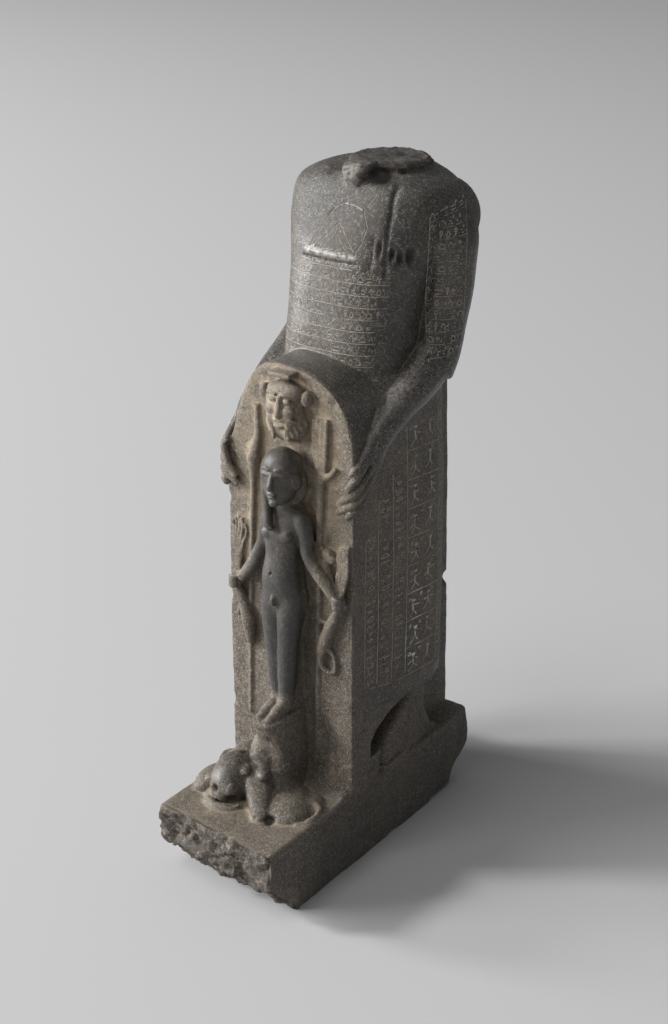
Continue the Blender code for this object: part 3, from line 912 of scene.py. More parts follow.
# %% Snakes and beasts on the figure's left
heads = [(0.0488, 0.2865), (0.0516, 0.2885), (0.0545, 0.2902), (0.0574, 0.2908)]
for number, (x, z) in enumerate(heads):
    rows = [
        (0.0512 + 0.0010 * number, 0.0054, 0.2480, 0.0013),
        (x - 0.0005, 0.0036, 0.2610, 0.0014),
        (x + 0.0006, 0.0024, 0.2720, 0.0014),
        (x - 0.0005, 0.0020, z - 0.0060, 0.0014),
        (x + 0.0006, 0.0016, z, 0.0013),
    ]
    beasts.append(ridge(f"left_snake_{number + 1}", *rows, sides=10))
beasts += [
    ridge(
        "left_lion",
        (0.0480, 0.0045, 0.2500, 0.0024),
        (0.0425, 0.0030, 0.2580, 0.0034),
        (0.0375, 0.0018, 0.2665, 0.0042),
        (0.0355, 0.0014, 0.2750, 0.0046),
    ),
    boss("left_lion_head", (0.0385, 0.0018, 0.2790), (0.0072, 0.0040, 0.0056), (0, 20, 0)),
    boss("left_lion_muzzle", (0.0432, 0.0030, 0.2770), (0.0034, 0.0028, 0.0038)),
    boss("left_lion_brow", (0.0410, 0.0048, 0.2815), (0.0022, 0.0016, 0.0014)),
    boss("left_lion_ear", (0.0335, 0.0040, 0.2845), (0.0020, 0.0018, 0.0022)),
    ridge(
        "left_beast",
        (0.0520, 0.0050, 0.2385, 0.0030),
        (0.0478, 0.0042, 0.2315, 0.0040),
        (0.0432, 0.0036, 0.2215, 0.0052),
        (0.0392, 0.0030, 0.2110, 0.0062),
        (0.0358, 0.0028, 0.2010, 0.0060),
        (0.0330, 0.0026, 0.1920, 0.0044),
        (0.0318, 0.0024, 0.1840, 0.0032),
        (0.0350, 0.0022, 0.1785, 0.0026),
        (0.0405, 0.0020, 0.1765, 0.0022),
        (0.0455, 0.0020, 0.1800, 0.0022),
        (0.0455, 0.0020, 0.1865, 0.0018),
    ),
    ridge(
        "left_beast_leg",
        (0.0405, 0.0030, 0.2190, 0.0030),
        (0.0335, 0.0024, 0.2210, 0.0022),
        (0.0285, 0.0018, 0.2170, 0.0018),
        sides=10,
    ),
    ridge(
        "left_beast_paw",
        (0.0395, 0.0028, 0.1985, 0.0028),
        (0.0440, 0.0022, 0.1930, 0.0020),
        (0.0452, 0.0018, 0.1870, 0.0016),
        sides=10,
    ),
]

# %% Snakes and beast on the figure's right
heads = [(-0.0562, 0.2835), (-0.0533, 0.2865), (-0.0503, 0.2885), (-0.0472, 0.2875), (-0.0436, 0.2830)]
for number, (x, z) in enumerate(heads):
    rows = [
        (-0.0532 + 0.0012 * number, 0.0040, 0.2410, 0.0011),
        (x * 0.45 - 0.0290 + 0.0008, 0.0020, 0.2540, 0.0011),
        (x * 0.75 - 0.0130 - 0.0008, 0.0014, 0.2660, 0.0011),
        (x + 0.0008, 0.0012, z - 0.0080, 0.0011),
        (x - 0.0008, 0.0009, z, 0.0010),
    ]
    beasts.append(ridge(f"right_snake_{number + 1}", *rows, sides=10))
beasts += [
    ridge(
        "right_beast",
        (-0.0510, 0.0045, 0.2320, 0.0028),
        (-0.0492, 0.0036, 0.2250, 0.0036),
        (-0.0455, 0.0030, 0.2150, 0.0046),
        (-0.0420, 0.0030, 0.2050, 0.0056),
        (-0.0398, 0.0030, 0.1950, 0.0058),
        (-0.0392, 0.0026, 0.1860, 0.0046),
        (-0.0402, 0.0020, 0.1790, 0.0028),
    ),
    ridge(
        "right_beast_leg",
        (-0.0440, 0.0030, 0.2120, 0.0030),
        (-0.0500, 0.0020, 0.2080, 0.0022),
        (-0.0520, 0.0012, 0.2000, 0.0018),
        sides=10,
    ),
]
print("staffs, snakes and beasts", len(beasts), "forms")

# %% [markdown]
# ## Crocodiles
#
# Two crocodiles lie crossed on the front of the plinth. Time has broken their snouts, so what shows are
# rounded lumps, one long central head with two brow knobs, hollow jaws and a thin curled tail. Whole
# crocodiles cut by Booleans would give clean breaks, but these are worn round, so pebbles suit them. The
# long head is a stack of rings laid on its side. Rows here say the height above the plinth.


# %% Crocodiles
def lump(name, place, size, turn=0):
    """A pebble on the plinth, at x, y and a height above it, turned in plan by degrees."""
    x, y, rise = place
    return pebble(f"crocodile_{name}", (x, y, GROUND + rise), size, (0, 0, turn))


def roll(name, *rows, **more):
    """A limb on the plinth, through rows of x, y, height above it and radius."""
    return limb(f"crocodile_{name}", [(x, y, GROUND + rise, radius) for x, y, rise, radius in rows], **more)


def laid(name, start, end, rows):
    """Rings laid down from start to end: length, side shift, half width, lower, upper, squareness."""
    piece = rings(name, rows, sides=32)
    piece.location = start
    piece.rotation_euler = (Vector(end) - Vector(start)).to_track_quat("Z", "Y").to_euler()
    return settled(name)


crocodiles = [
    lump("round_head", (-0.0245, -0.0820, 0.0100), (0.0185, 0.0270, 0.0215), 12),
    lump("round_neck", (-0.0300, -0.0560, 0.0100), (0.0180, 0.0240, 0.0170), 12),
    lump("nostril", (-0.0350, -0.0995, 0.0150), (0.0052, 0.0058, 0.0050)),
    lump("cheek", (-0.0140, -0.1000, 0.0120), (0.0062, 0.0066, 0.0080)),
    roll(
        "lower_lip",
        (-0.0385, -0.0930, -0.0004, 0.0044),
        (-0.0325, -0.1045, -0.0002, 0.0046),
        (-0.0220, -0.1130, -0.0002, 0.0044),
        (-0.0105, -0.1095, -0.0004, 0.0042),
        (-0.0045, -0.1020, -0.0006, 0.0038),
    ),
    lump("back", (-0.0455, -0.0830, 0.0020), (0.0130, 0.0215, 0.0100)),
    laid(
        "crocodile_long_head",
        (-0.0110, -0.0700, GROUND + 0.0205),
        (0.0240, -0.1090, GROUND - 0.0010),
        [
            (0.000, 0, 0.0110, -0.014, 0.0070, 2.6),
            (0.010, 0, 0.0134, -0.014, 0.0088, 2.8),
            (0.022, 0, 0.0118, -0.013, 0.0076, 3.0),
            (0.034, 0, 0.0092, -0.011, 0.0062, 3.0),
            (0.044, 0, 0.0080, -0.010, 0.0052, 3.0),
            (0.052, 0, 0.0070, -0.008, 0.0040, 3.0),
            (0.055, 0, 0.0045, -0.006, 0.0015, 3.0),
        ],
    ),
    lump("eye_left", (0.0036, -0.0805, 0.0232), (0.0060, 0.0090, 0.0046), 40),
    lump("eye_right", (-0.0116, -0.0840, 0.0238), (0.0056, 0.0084, 0.0042), 40),
    roll(
        "claw",
        (0.0010, -0.0600, 0.0285, 0.0048),
        (0.0060, -0.0660, 0.0200, 0.0054),
        (0.0100, -0.0700, 0.0110, 0.0054),
        (0.0120, -0.0720, 0.0050, 0.0040),
    ),
    lump("right_body", (0.0210, -0.0750, -0.0015), (0.0335, 0.0250, 0.0128), -42),
    lump("right_leg", (0.0340, -0.0680, -0.0020), (0.0200, 0.0190, 0.0084), -30),
    lump("right_flank", (0.0340, -0.0920, -0.0030), (0.0150, 0.0110, 0.0060), -25),
    roll(
        "curl",
        (0.0535, -0.0885, 0.0008, 0.0023),
        (0.0560, -0.0785, 0.0020, 0.0025),
        (0.0520, -0.0695, 0.0032, 0.0026),
        (0.0450, -0.0670, 0.0046, 0.0025),
        (0.0410, -0.0725, 0.0044, 0.0023),
        (0.0430, -0.0790, 0.0028, 0.0021),
        (0.0470, -0.0780, 0.0018, 0.0019),
        sides=10,
    ),
    roll(
        "tail",
        (0.0480, -0.0960, -0.0012, 0.0030),
        (0.0570, -0.0840, -0.0010, 0.0032),
        (0.0585, -0.0640, -0.0012, 0.0030),
        (0.0560, -0.0440, -0.0014, 0.0028),
        (0.0500, -0.0300, -0.0016, 0.0028),
        sides=12,
    ),
    roll(
        "left_flank",
        (-0.0540, -0.0300, 0.000, 0.0060),
        (-0.0520, -0.0480, 0.002, 0.0080),
        (-0.0450, -0.0620, 0.008, 0.0110),
    ),
    lump("bellies", (-0.0080, -0.0640, -0.002), (0.0340, 0.0260, 0.0150)),
]
print("crocodiles", len(crocodiles), "forms")

# %% [markdown]
# ## The man's hands
#
# Each hand holds the slab from the side. The thumb lies on the edge under the arch, and four fingers bend
# round onto the front. All are limbs, made once and mirrored, and the four fingers come from one loop over
# their knuckles and tips.

# %% Hands
palms = both_sides(
    limb,
    "palm",
    (0.0570, -0.0060, 0.366, 0.0098),
    (0.0572, -0.0130, 0.352, 0.0092),
    (0.0572, -0.0190, 0.338, 0.0078),
)
thumbs = both_sides(
    limb,
    "thumb",
    (0.0605, -0.0120, 0.3740, 0.0046),
    (0.0622, -0.0200, 0.3650, 0.0042),
    (0.0624, -0.0290, 0.3575, 0.0038),
    (0.0612, FACE - 0.0005, 0.3525, 0.0032),
    (0.0590, FACE - 0.0020, 0.3500, 0.0026),
)
fingers = []
for number, (reach_back, knuckle, tip_x, tip_z) in enumerate(
    ((-0.0240, 0.3600, 0.0572, 0.3335), (-0.0225, 0.3500, 0.0492, 0.3240))
    + ((-0.0240, 0.3400, 0.0488, 0.3178), (-0.0290, 0.3290, 0.0585, 0.3155))
):
    fingers += both_sides(
        limb,
        f"finger_{number + 1}",
        (0.0605, reach_back + 0.0100, knuckle + 0.0040, 0.0034),
        (0.0635, reach_back, knuckle - 0.0010, 0.0034),
        (0.0640, FACE + 0.0010, (2 * knuckle + tip_z) / 3 - 0.0020, 0.0033),
        (0.0618, FACE - 0.0034, (knuckle + tip_z) / 2 - 0.0020, 0.0032),
        ((0.0606 + tip_x) / 2, FACE - 0.0042, (knuckle + 3 * tip_z) / 4 - 0.0008, 0.0030),
        (tip_x, FACE - 0.0032, tip_z, 0.0026),
    )
print("hands", len(palms + thumbs + fingers), "forms")

# %% [markdown]
# ## One skin for everything
#
# A Boolean union of so many rounded forms is slow and leaves sharp seams. A voxel remesh wraps all the
# overlapping forms in one closed skin instead, much as the mason left them in one block. Some smoothing
# rounds the inner corners, as a chisel and sand do. The cells are fine enough for the eyelids and the
# strands of the beard.


# %% Fuse all forms
def apply(piece, kind, **settings):
    """Adds one modifier with its settings and applies it."""
    picked(piece)
    modifier = piece.modifiers.new(kind.lower(), kind)
    for setting, value in settings.items():
        setattr(modifier, setting, value)
    bpy.ops.object.modifier_apply(modifier=modifier.name)


def fused(name, forms, grain, soften):
    """One skin around all forms, made of cells as small as `grain`."""
    nothing_selected()
    for form in forms:
        form.select_set(True)
    piece = forms[0]
    bpy.context.view_layer.objects.active = piece
    bpy.ops.object.join()
    piece.name = name
    apply(piece, "REMESH", mode="VOXEL", voxel_size=grain)
    apply(piece, "SMOOTH", factor=0.5, iterations=soften)
    print(name, len(piece.data.polygons), "faces")
    return piece


stone = fused(
    "healing_statue_stone",
    [plinth, garment, torso, neck, beard_stub, pillar, *arms, *feet, between, *stela, apron]
    + [*palms, *thumbs, *fingers, *child, *mask, *beasts, *crocodiles],
    grain=0.00070,
    soften=2,
)

# %% [markdown]
# ## Wear
#
# The block was finished by rubbing and is now two thousand years old. Every sharp edge is a little
# rounded and chipped, flat faces are not quite flat, and two faces are raw breaks. How far each point
# stands out from a smoothed copy of the skin tells edges from hollows, so the chips land on edges. The
# same number is kept for the dust that lies in the hollows, and for the shade that is painted into them.


# %% Edges and hollows
def normals_of(piece):
    found = np.empty(len(piece.data.vertices) * 3, np.float32)
    piece.data.vertex_normals.foreach_get("vector", found)
    return found.reshape(-1, 3).astype(float)


def stands_out(piece, iterations):
    """How far each point stands out (+) or lies in (-), next to a smoothed copy of the skin."""
    smooth = piece.copy()
    smooth.data = piece.data.copy()
    bpy.context.scene.collection.objects.link(smooth)
    apply(smooth, "SMOOTH", factor=0.5, iterations=iterations)
    away = points_of(piece) - points_of(smooth)
    bpy.data.meshes.remove(smooth.data)
    return np.sum(away * normals_of(piece), axis=1)


def keep(piece, name, values):
    """Stores one number a point under a name that the material reads."""
    layer = piece.data.attributes.new(name, "FLOAT", "POINT")
    layer.data.foreach_set("value", np.ascontiguousarray(values, np.float32))


fine_edge = stands_out(stone, 20)
broad_edge = stands_out(stone, 110)
deep_hollow, deep_crease, sharp_edge = 0.0016, 0.00035, 0.00060  # what counts as 1
keep(stone, "hollow", np.clip(-broad_edge / deep_hollow, 0, 1))
keep(stone, "crease", np.clip(-fine_edge / deep_crease, 0, 1))
keep(stone, "worn", np.clip(fine_edge / sharp_edge, 0, 1))
print("sharpest edge", fine_edge.max(), "deepest hollow", broad_edge.min())

# %% [markdown]
# ### Details cut into the skin
#
# Each mark is a small push of the skin: a centre, a radius and a depth, where a negative depth swells.
# They make the navel, the hollows of eyes and mouth, the pits of the broken crocodile heads and the chips
# on the edges. They are short lists, because each one stands for one stroke of the carver or one blow.

# %% Marks
marks = [
    # the child: navel, eye hollows, under the lip, the ear, down the belly
    ((-0.0010, FACE - 0.0250, 0.2605), (0.0022, 0.004, 0.0026), 0.0022),
    ((-0.0004, FACE - 0.0300, 0.3440), (0.0050, 0.006, 0.0036), 0.0012),
    ((0.0124, FACE - 0.0290, 0.3440), (0.0050, 0.006, 0.0036), 0.0012),
    ((0.0062, FACE - 0.0305, 0.3303), (0.0054, 0.005, 0.0009), 0.0014),
    ((0.0060, FACE - 0.0290, 0.3264), (0.0044, 0.005, 0.0014), 0.0010),
    ((0.0212, FACE - 0.0185, 0.3400), (0.0022, 0.0030, 0.0036), 0.0016),
    ((0.0010, FACE - 0.0240, 0.2800), (0.0030, 0.006, 0.0120), 0.0008),
    ((0.0010, FACE - 0.0200, 0.2080), (0.0012, 0.008, 0.0260), 0.0016),
    # the mask: corners of the eyes, open mouth, ears
    ((mask_x - 0.0028, FACE - 0.0130, 0.3998), (0.0020, 0.005, 0.0026), 0.0010),
    ((mask_x + 0.0034, FACE - 0.0130, 0.3998), (0.0020, 0.005, 0.0026), 0.0010),
    ((mask_x + 0.0010, FACE - 0.0160, 0.3838), (0.0054, 0.006, 0.0016), 0.0022),
    ((0.0218, FACE - 0.0110, 0.4030), (0.0026, 0.006, 0.0038), 0.0016),
    ((-0.0200, FACE - 0.0085, 0.4020), (0.0026, 0.006, 0.0036), 0.0014),
    # crocodiles: pits of the jaws, the crack behind the heads, the hollow beside the long snout
    ((-0.0250, -0.1090, GROUND + 0.0125), (0.0050, 0.0070, 0.0055), 0.0065),
    ((-0.0100, -0.1040, GROUND + 0.0050), (0.0070, 0.0080, 0.0060), 0.0050),
    ((-0.0230, -0.0700, GROUND + 0.0310), (0.0026, 0.0060, 0.0040), 0.0040),
    ((0.0290, -0.1040, GROUND + 0.0020), (0.0060, 0.0070, 0.0050), 0.0040),
    ((0.0180, -0.1120, GROUND + 0.0030), (0.0040, 0.0050, 0.0030), 0.0026),
    ((0.0380, -0.0960, GROUND + 0.0020), (0.0030, 0.0040, 0.0030), 0.0024),
    # right of the stub of the beard, under the edge of the break
    ((0.0240, 0.0500, 0.5540), (0.0170, 0.0150, 0.0085), 0.0050),
    ((-0.0200, 0.0500, 0.5540), (0.0120, 0.0120, 0.0070), 0.0020),
    # deep drill holes and folds beside the left armpit
    ((0.0468, 0.0320, 0.5015), (0.0030, 0.0090, 0.0075), 0.0050),
    ((0.0515, 0.0350, 0.4985), (0.0028, 0.0090, 0.0085), 0.0048),
    ((0.0565, 0.0410, 0.4995), (0.0034, 0.0100, 0.0100), 0.0056),
    ((0.0385, 0.0260, 0.5060), (0.0026, 0.0070, 0.0100), 0.0026),
    ((0.0600, 0.0470, 0.4900), (0.0030, 0.0090, 0.0110), 0.0036),
    # chips: pillar, stela, plinth
    ((0.0330, 0.1360, 0.1900), (0.0060, 0.0090, 0.0080), 0.0060),
    ((-0.0615, FACE, 0.1180), (0.0050, 0.0060, 0.0080), 0.0018),
    ((-0.0615, FACE, 0.2150), (0.0040, 0.0060, 0.0060), 0.0014),
    ((-0.0615, FACE, 0.3020), (0.0050, 0.0060, 0.0060), 0.0020),
    ((0.0600, FACE, 0.2280), (0.0040, 0.0060, 0.0090), 0.0014),
    ((0.0600, FACE, 0.1460), (0.0040, 0.0060, 0.0060), 0.0012),
    ((0.0420, FACE, 0.4030), (0.0060, 0.0070, 0.0060), 0.0018),
]
points, normals = points_of(stone), normals_of(stone)
push = np.zeros(len(points))
for centre, radius, depth in marks:
    away = np.linalg.norm((points - centre) / np.array(radius), axis=1)
    near = away < 1
    push[near] += (1 - ramp(away[near], 0, 1)) * depth
print(len(marks), "marks")

# %% [markdown]
# ### Long furrows
#
# The strap, the folds of the robe, the moulding of the pectoral, the hem and the seam beside the pillar
# are long soft grooves or ridges. A Boolean would make them sharp. Here each point is pushed by its
# distance to a path, drawn in the front view (x, z) or in the side view (y, z).


# %% Furrows and mouldings
def furrow(path, width, depth, axis=0):
    """A soft groove along a path of (x or y, z); a negative depth makes a ridge."""
    level = points[:, [axis, 2]]
    away = np.full(len(points), width)
    for start, end in zip(path, path[1:]):
        along = np.array(end) - start
        share = np.clip((level - start) @ along / (along @ along), 0, 1)
        away = np.minimum(away, np.linalg.norm(level - start - share[:, None] * along, axis=1))
    facing_it = -normals[:, 1] if axis == 0 else np.abs(normals[:, 0])
    return depth * (1 - ramp(away, 0, width)) * ramp(facing_it, 0.1, 0.5)


strap = [(0.0325, 0.5560), (0.0394, 0.5492), (0.0404, 0.5402), (0.0416, 0.5303), (0.0420, 0.5172)]
strap += [(0.0431, 0.5027), (0.0435, 0.4860)]
fold = [(0.0328, 0.5137), (0.0336, 0.5022), (0.0327, 0.4898)]
hem = [(-0.0120, 0.1556), (0.0144, 0.1511), (0.0314, 0.1481), (0.0486, 0.1458), (0.0676, 0.1433)]
hem += [(0.0885, 0.1422)]
pillar_seam = [(0.0925, 0.1480), (0.0925, 0.3800)]
moulding = furrow([(-0.0255, 0.4970), (0.0215, 0.4970)], 0.0030, -0.0012)
push += furrow(strap, 0.0026, 0.0015)
push += furrow(fold, 0.0018, 0.0009)
push += moulding + furrow([(-0.0275, 0.4925), (0.0225, 0.4925)], 0.0018, 0.0012)
push += furrow(hem, 0.0014, 0.0008, axis=1)
push += furrow(pillar_seam, 0.0016, 0.0010, axis=1)
points -= normals * push[:, None]
# Painted shade: the material darkens what these marks and furrows push in, and the top of the neck break as
# well.
neck_top = ramp(points[:, 2], 0.5560, 0.5590) * ramp(points[:, 1], 0.050, 0.058)
keep(stone, "shade_and_dark_neck_top", np.clip(push / 0.0026 + 0.62 * neck_top, 0, 1))
print("deepest push", push.max())

# %% [markdown]
# ### Breaks and weathering
#
# The neck and the front of the plinth are raw. A lattice of random values, blended smoothly between its
# corners, gives lumps of any size. Three sizes of it give the facets, lumps and single crystals of such a
# break. All else gets only slight unevenness, more where the stone was left dull. A Displace modifier has
# noise as well, but numpy works on all points at once, and a fixed hash makes each run the same.


# %% Noise
def noise(points, size, seed):
    """Smooth values from -1 to 1, with lumps about `size` across."""
    grid = points / size
    corner = np.floor(grid).astype(np.int64)
    share = grid - corner
    share = share * share * (3 - 2 * share)
    total = np.zeros(len(points))
    for step in np.ndindex(2, 2, 2):
        cell = corner + step
        mixed = cell[:, 0] * 73856093 ^ cell[:, 1] * 19349663 ^ cell[:, 2] * 83492791
        mixed = (mixed + seed * 2654435761) & 0xFFFFFFFF
        mixed = ((mixed ^ (mixed >> 15)) * 2246822519) & 0xFFFFFFFF
        mixed = ((mixed ^ (mixed >> 13)) * 3266489917) & 0xFFFFFFFF
        value = ((mixed >> 9) & 0xFFFF) / 32767.5 - 1
        total += value * np.prod(np.where(step, share, 1 - share), axis=1)
    return total


# %% Where the stone is broken, and where highlight is painted
x, y, z = points.T
neck_break = ramp(z, 0.5565, 0.5590) * ramp(y, 0.046, 0.056)
stub_break = ball(points, (0.004, 0.042, 0.556), (0.015, 0.016, 0.016))
front_break = ramp(-y, 0.088, 0.100) * ramp(-normals[:, 1] - 0.3 * normals[:, 2], 0.25, 0.6)
front_break *= 1 - ramp(z, GROUND - 0.0015, GROUND + 0.0005)
column_break = ball(points, (0.001, -0.078, 0.112), (0.026, 0.020, 0.026)) * ramp(-normals[:, 1], 0.2, 0.6)
foot_break = ramp(0.014 - z, 0.0, 0.012) * ramp(np.abs(normals[:, 2]), -0.2, 0.4)
broken = np.clip(neck_break + stub_break + front_break + column_break, 0, 1)
# Painted highlight: the moulding of the pectoral and the upward faces of the forearms are lightened; the
# stub of the beard is lightened as a pale break.
highlight_and_pale_stub = 0.9 * np.clip(-moulding / 0.0009, 0, 1) + 0.60 * stub_break
highlight_and_pale_stub += 0.30 * ball(points, (0.060, 0.022, 0.396), (0.020, 0.055, 0.030)) * ramp(normals[:, 2], 0.0, 0.6)
keep(stone, "highlight_and_pale_stub", np.clip(highlight_and_pale_stub, 0, 1))
print("share of broken points", broken.mean())

# %% Break and weather
facets, lumps, crystals = (0.0036, 0.018), (0.0025, 0.0072), (0.0015, 0.0030)  # height and size
raw = facets[0] * noise(points, facets[1], 1) + lumps[0] * noise(points, lumps[1], 2)
raw = raw + crystals[0] * noise(points, crystals[1], 3)
raw *= np.clip(1 - 0.6 * neck_break - 0.6 * stub_break - 0.5 * column_break, 0.2, 1)
dull = 1 - 0.65 * ramp(z, 0.37, 0.41)
uneven = 0.00040 * noise(points, 0.022, 4) + 0.00016 * dull * noise(points, 0.007, 5)
pitted = 0.00010 * dull * noise(points, 0.0022, 6)
patches = noise(points, 0.011, 7) + 0.4 * noise(points, 0.004, 8)
chips = ramp(fine_edge, 0.00018, 0.0007) * ramp(patches, -0.1, 0.7)
slab_edge = ramp(-y, 0.030, 0.035) * (1 - ramp(-y, 0.041, 0.046)) * ramp(np.abs(x), 0.046, 0.056)
lift = (raw + 0.0006) * broken + (uneven + pitted) * (1 - broken)
lift -= (0.0013 + 0.0020 * slab_edge) * chips * (1 - broken)
lift -= 0.0045 * foot_break * ramp(noise(points, 0.024, 9), 0.0, 0.8)
move_points(stone, points + normals * lift[:, None])
keep(stone, "broken", np.clip(broken + 0.6 * chips, 0, 1))

# %% [markdown]
# ### Fewer triangles, a flat underside, one whole skin
#
# The remesh has cells of one size everywhere. Decimate merges the flattest ones, so that the triangles go
# where the carving is. Loose flakes and closed bubbles are removed, because a stone is one body, and the
# lowest points are pressed flat, so that it stands firmly.


# %% Thin, clean and flatten
def thinned(piece, triangles):
    """Merges the flattest faces until about this many triangles are left."""
    share = triangles / sum(len(face.vertices) - 2 for face in piece.data.polygons)
    apply(piece, "DECIMATE", ratio=min(1.0, share))
    print(piece.name, "thinned to", len(piece.data.polygons), "faces")


def largest_part(piece):
    """Removes loose flakes and closed bubbles, so that one connected skin is left."""
    picked(piece)
    in_edit_mode(bpy.ops.mesh.separate, type="LOOSE")
    parts = sorted(bpy.context.selected_objects, key=lambda part: len(part.data.polygons))
    print("loose parts left out:", [len(part.data.polygons) for part in parts[:-1]])
    for part in parts[:-1]:
        bpy.data.objects.remove(part)
    return parts[-1]


def unclosed(piece):
    """How many points lie on an edge that doesn't join exactly two faces."""
    picked(piece)
    bpy.ops.object.mode_set(mode="EDIT")
    bpy.ops.mesh.select_mode(type="VERT")
    bpy.ops.mesh.select_all(action="DESELECT")
    bpy.ops.mesh.select_non_manifold()
    found = piece.data.count_selected_items()[0]  # only edit mode can count what is selected
    bpy.ops.object.mode_set(mode="OBJECT")
    return found


bare_triangles = 92000  # before the signs are cut
thinned(stone, bare_triangles)
stone = largest_part(stone)
points = points_of(stone)
pressed = 0.0004  # what lies lower than this is pressed flat
points[:, 2] = np.where(points[:, 2] < pressed, 0, points[:, 2])
move_points(stone, points)
print("lowest point", points[:, 2].min(), "points where the skin is not closed", unclosed(stone))

# %% [markdown]
# ## The signs
#
# Almost every smooth face is covered with spells. On the belly they run in rows between thin ruled lines,
# on the sides in columns. They are far too small here to be read, and no real text is copied: each sign is
# a chance group of short strokes. A bump in the material could fake them, but cut strokes catch the light
# from all sides. A stroke is a thin wedge, like the mark of a small chisel. A ray finds the surface at
# both of its ends, so that rows bend round the body. A Boolean then cuts all the wedges.

# %% Where the signs go
tree = BVHTree.FromObject(stone, bpy.context.evaluated_depsgraph_get())
chance = random.Random(7)
UP = Vector((0, 0, 1))
FAR = 0.3  # a sheet's rays start this far out
REACH = 0.12  # and go this far past the sheet
FACING = 0.35  # the stone has to face a sheet at least this much, from 0 for edge on to 1
wedges = [[], [], [], []]  # four batches, so that strokes which join are cut one after the other


class Sheet:
    """An upright plane before one face. A place on it is thrown onto the stone behind it."""

    def __init__(self, middle, across, tilt=0.0, front=-1.0):
        self.middle = Vector(middle)
        self.tilt = tilt
        self.front = front  # nothing is cut in front of this y
        self.across = Vector(across).normalized()
        self.out = self.across.cross(UP)

    def on_stone(self, u, v):
        start = self.middle + self.across * u + UP * (v + self.tilt * u) + self.out * FAR
        place, normal, _, far = tree.ray_cast(start, -self.out)
        if place is None or far > FAR + REACH or normal.dot(self.out) < FACING:
            return None
        return (place, normal) if place.y > self.front else None


# %% Strokes and ruled lines
def wedge(start, end, layer, width=0.00072, depth=0.00042):
    """Keeps one stroke for the cutter. Its ends are a place on the stone and the normal there."""
    shortest, longest = 0.0004, 0.05
    if start and end and shortest < (start[0] - end[0]).length < longest:
        wedges[layer].append((start, end, width, depth))


def stroke_path(sheet, path, layer, **more):
    """Strokes along a path of (u, v) places."""
    places = [sheet.on_stone(u, v) for u, v in path]
    for number, (start, end) in enumerate(zip(places, places[1:])):
        wedge(start, end, (layer + number) % len(wedges), **more)


def ruled(sheet, start, end, **more):
    """A long ruled line, in short pieces that follow the stone."""
    (u0, v0), (u1, v1) = start, end
    piece_length = 0.006
    count = max(1, round(math.dist(start, end) / piece_length))
    path = [(u0 + (u1 - u0) * i / count, v0 + (v1 - v0) * i / count) for i in range(count + 1)]
    stroke_path(sheet, path, 2, **more)


# %% One sign
def sign(sheet, u, v, wide, high, **more):
    """A chance group of strokes in a field whose lower left corner is (u, v)."""
    kind = chance.random()
    jitter = chance.uniform

    def draw(path, layer):
        stroke_path(sheet, [(u + a * wide, v + b * high) for a, b in path], layer, **more)

    if kind < 0.24:  # dashes of uneven length, with a tick beside them
        for i in range(2):
            level, left = 0.15 + 0.36 * i, jitter(0, 0.3)
            draw([(left, level), (left + jitter(0.35, 0.7), level + jitter(-0.1, 0.1))], i)
        draw([(0.75, jitter(0.6, 0.75)), (jitter(0.85, 1), 1)], 2)
    elif kind < 0.40:  # ticks at uneven heights
        for i in range(chance.choice((2, 3))):
            foot = jitter(0, 0.5)
            draw([(0.1 + 0.36 * i, foot), (0.16 + 0.36 * i, foot + jitter(0.25, 0.5))], i)
    elif kind < 0.62:  # a bird
        draw([(0, 0.35), (0.3, 0.85), (0.55, 0.45), (1, jitter(0.5, 0.7))], 0)
        draw([(0.5, 0.4), (0.58, 0)], 3)
    elif kind < 0.78:  # a loaf on its base
        draw([(0.1, 0.2), (0.2, 0.55), (0.5, 0.75), (0.8, 0.55), (0.9, 0.2)], 1)
        draw([(0.05, 0.1), (0.95, 0.1)], 3)
    elif kind < 0.92:  # water over a dash
        draw([(i / 6, 0.50 if i % 2 else 0.72) for i in range(7)], 0)
        draw([(jitter(0, 0.3), 0.1), (jitter(0.6, 1), 0.15)], 2)
    else:  # a leaf
        draw([(0.45, 0), (0.5, 0.4), (0.25, 0.65), (0.55, 1), (0.78, 0.6), (0.5, 0.4)], 1)


# %% Rows and columns of signs
def text_row(sheet, start, end, v, high, **more):
    """Signs from start to end along one row whose foot is at height v, over a ruled line."""
    u = start
    while u < end - high * 0.5:
        wide = high * chance.uniform(0.34, 0.80)
        if chance.random() > 0.04:
            sign(sheet, u, v + 0.12 * high, min(wide, end - u), high * 0.76, **more)
        u += wide + high * 0.18
    ruled(sheet, (start, v), (end, v), width=0.0005, depth=0.0003)


def text_column(sheet, u, wide, low_end, high_end, **more):
    """Signs from the top down in one column, one or two side by side, beside a ruled line."""
    v, high = high_end, 0.0050
    while v > low_end + high:
        tall = high * chance.uniform(0.8, 1.3)
        count = chance.choice((1, 1, 2))
        field = 0.74 * wide / count
        for i in range(count):
            sign(sheet, u + 0.13 * wide + i * field, v - tall, 0.84 * field, 0.84 * tall, **more)
        v -= tall + 0.0015
    ruled(sheet, (u, low_end), (u, high_end), width=0.0009, depth=0.0004)


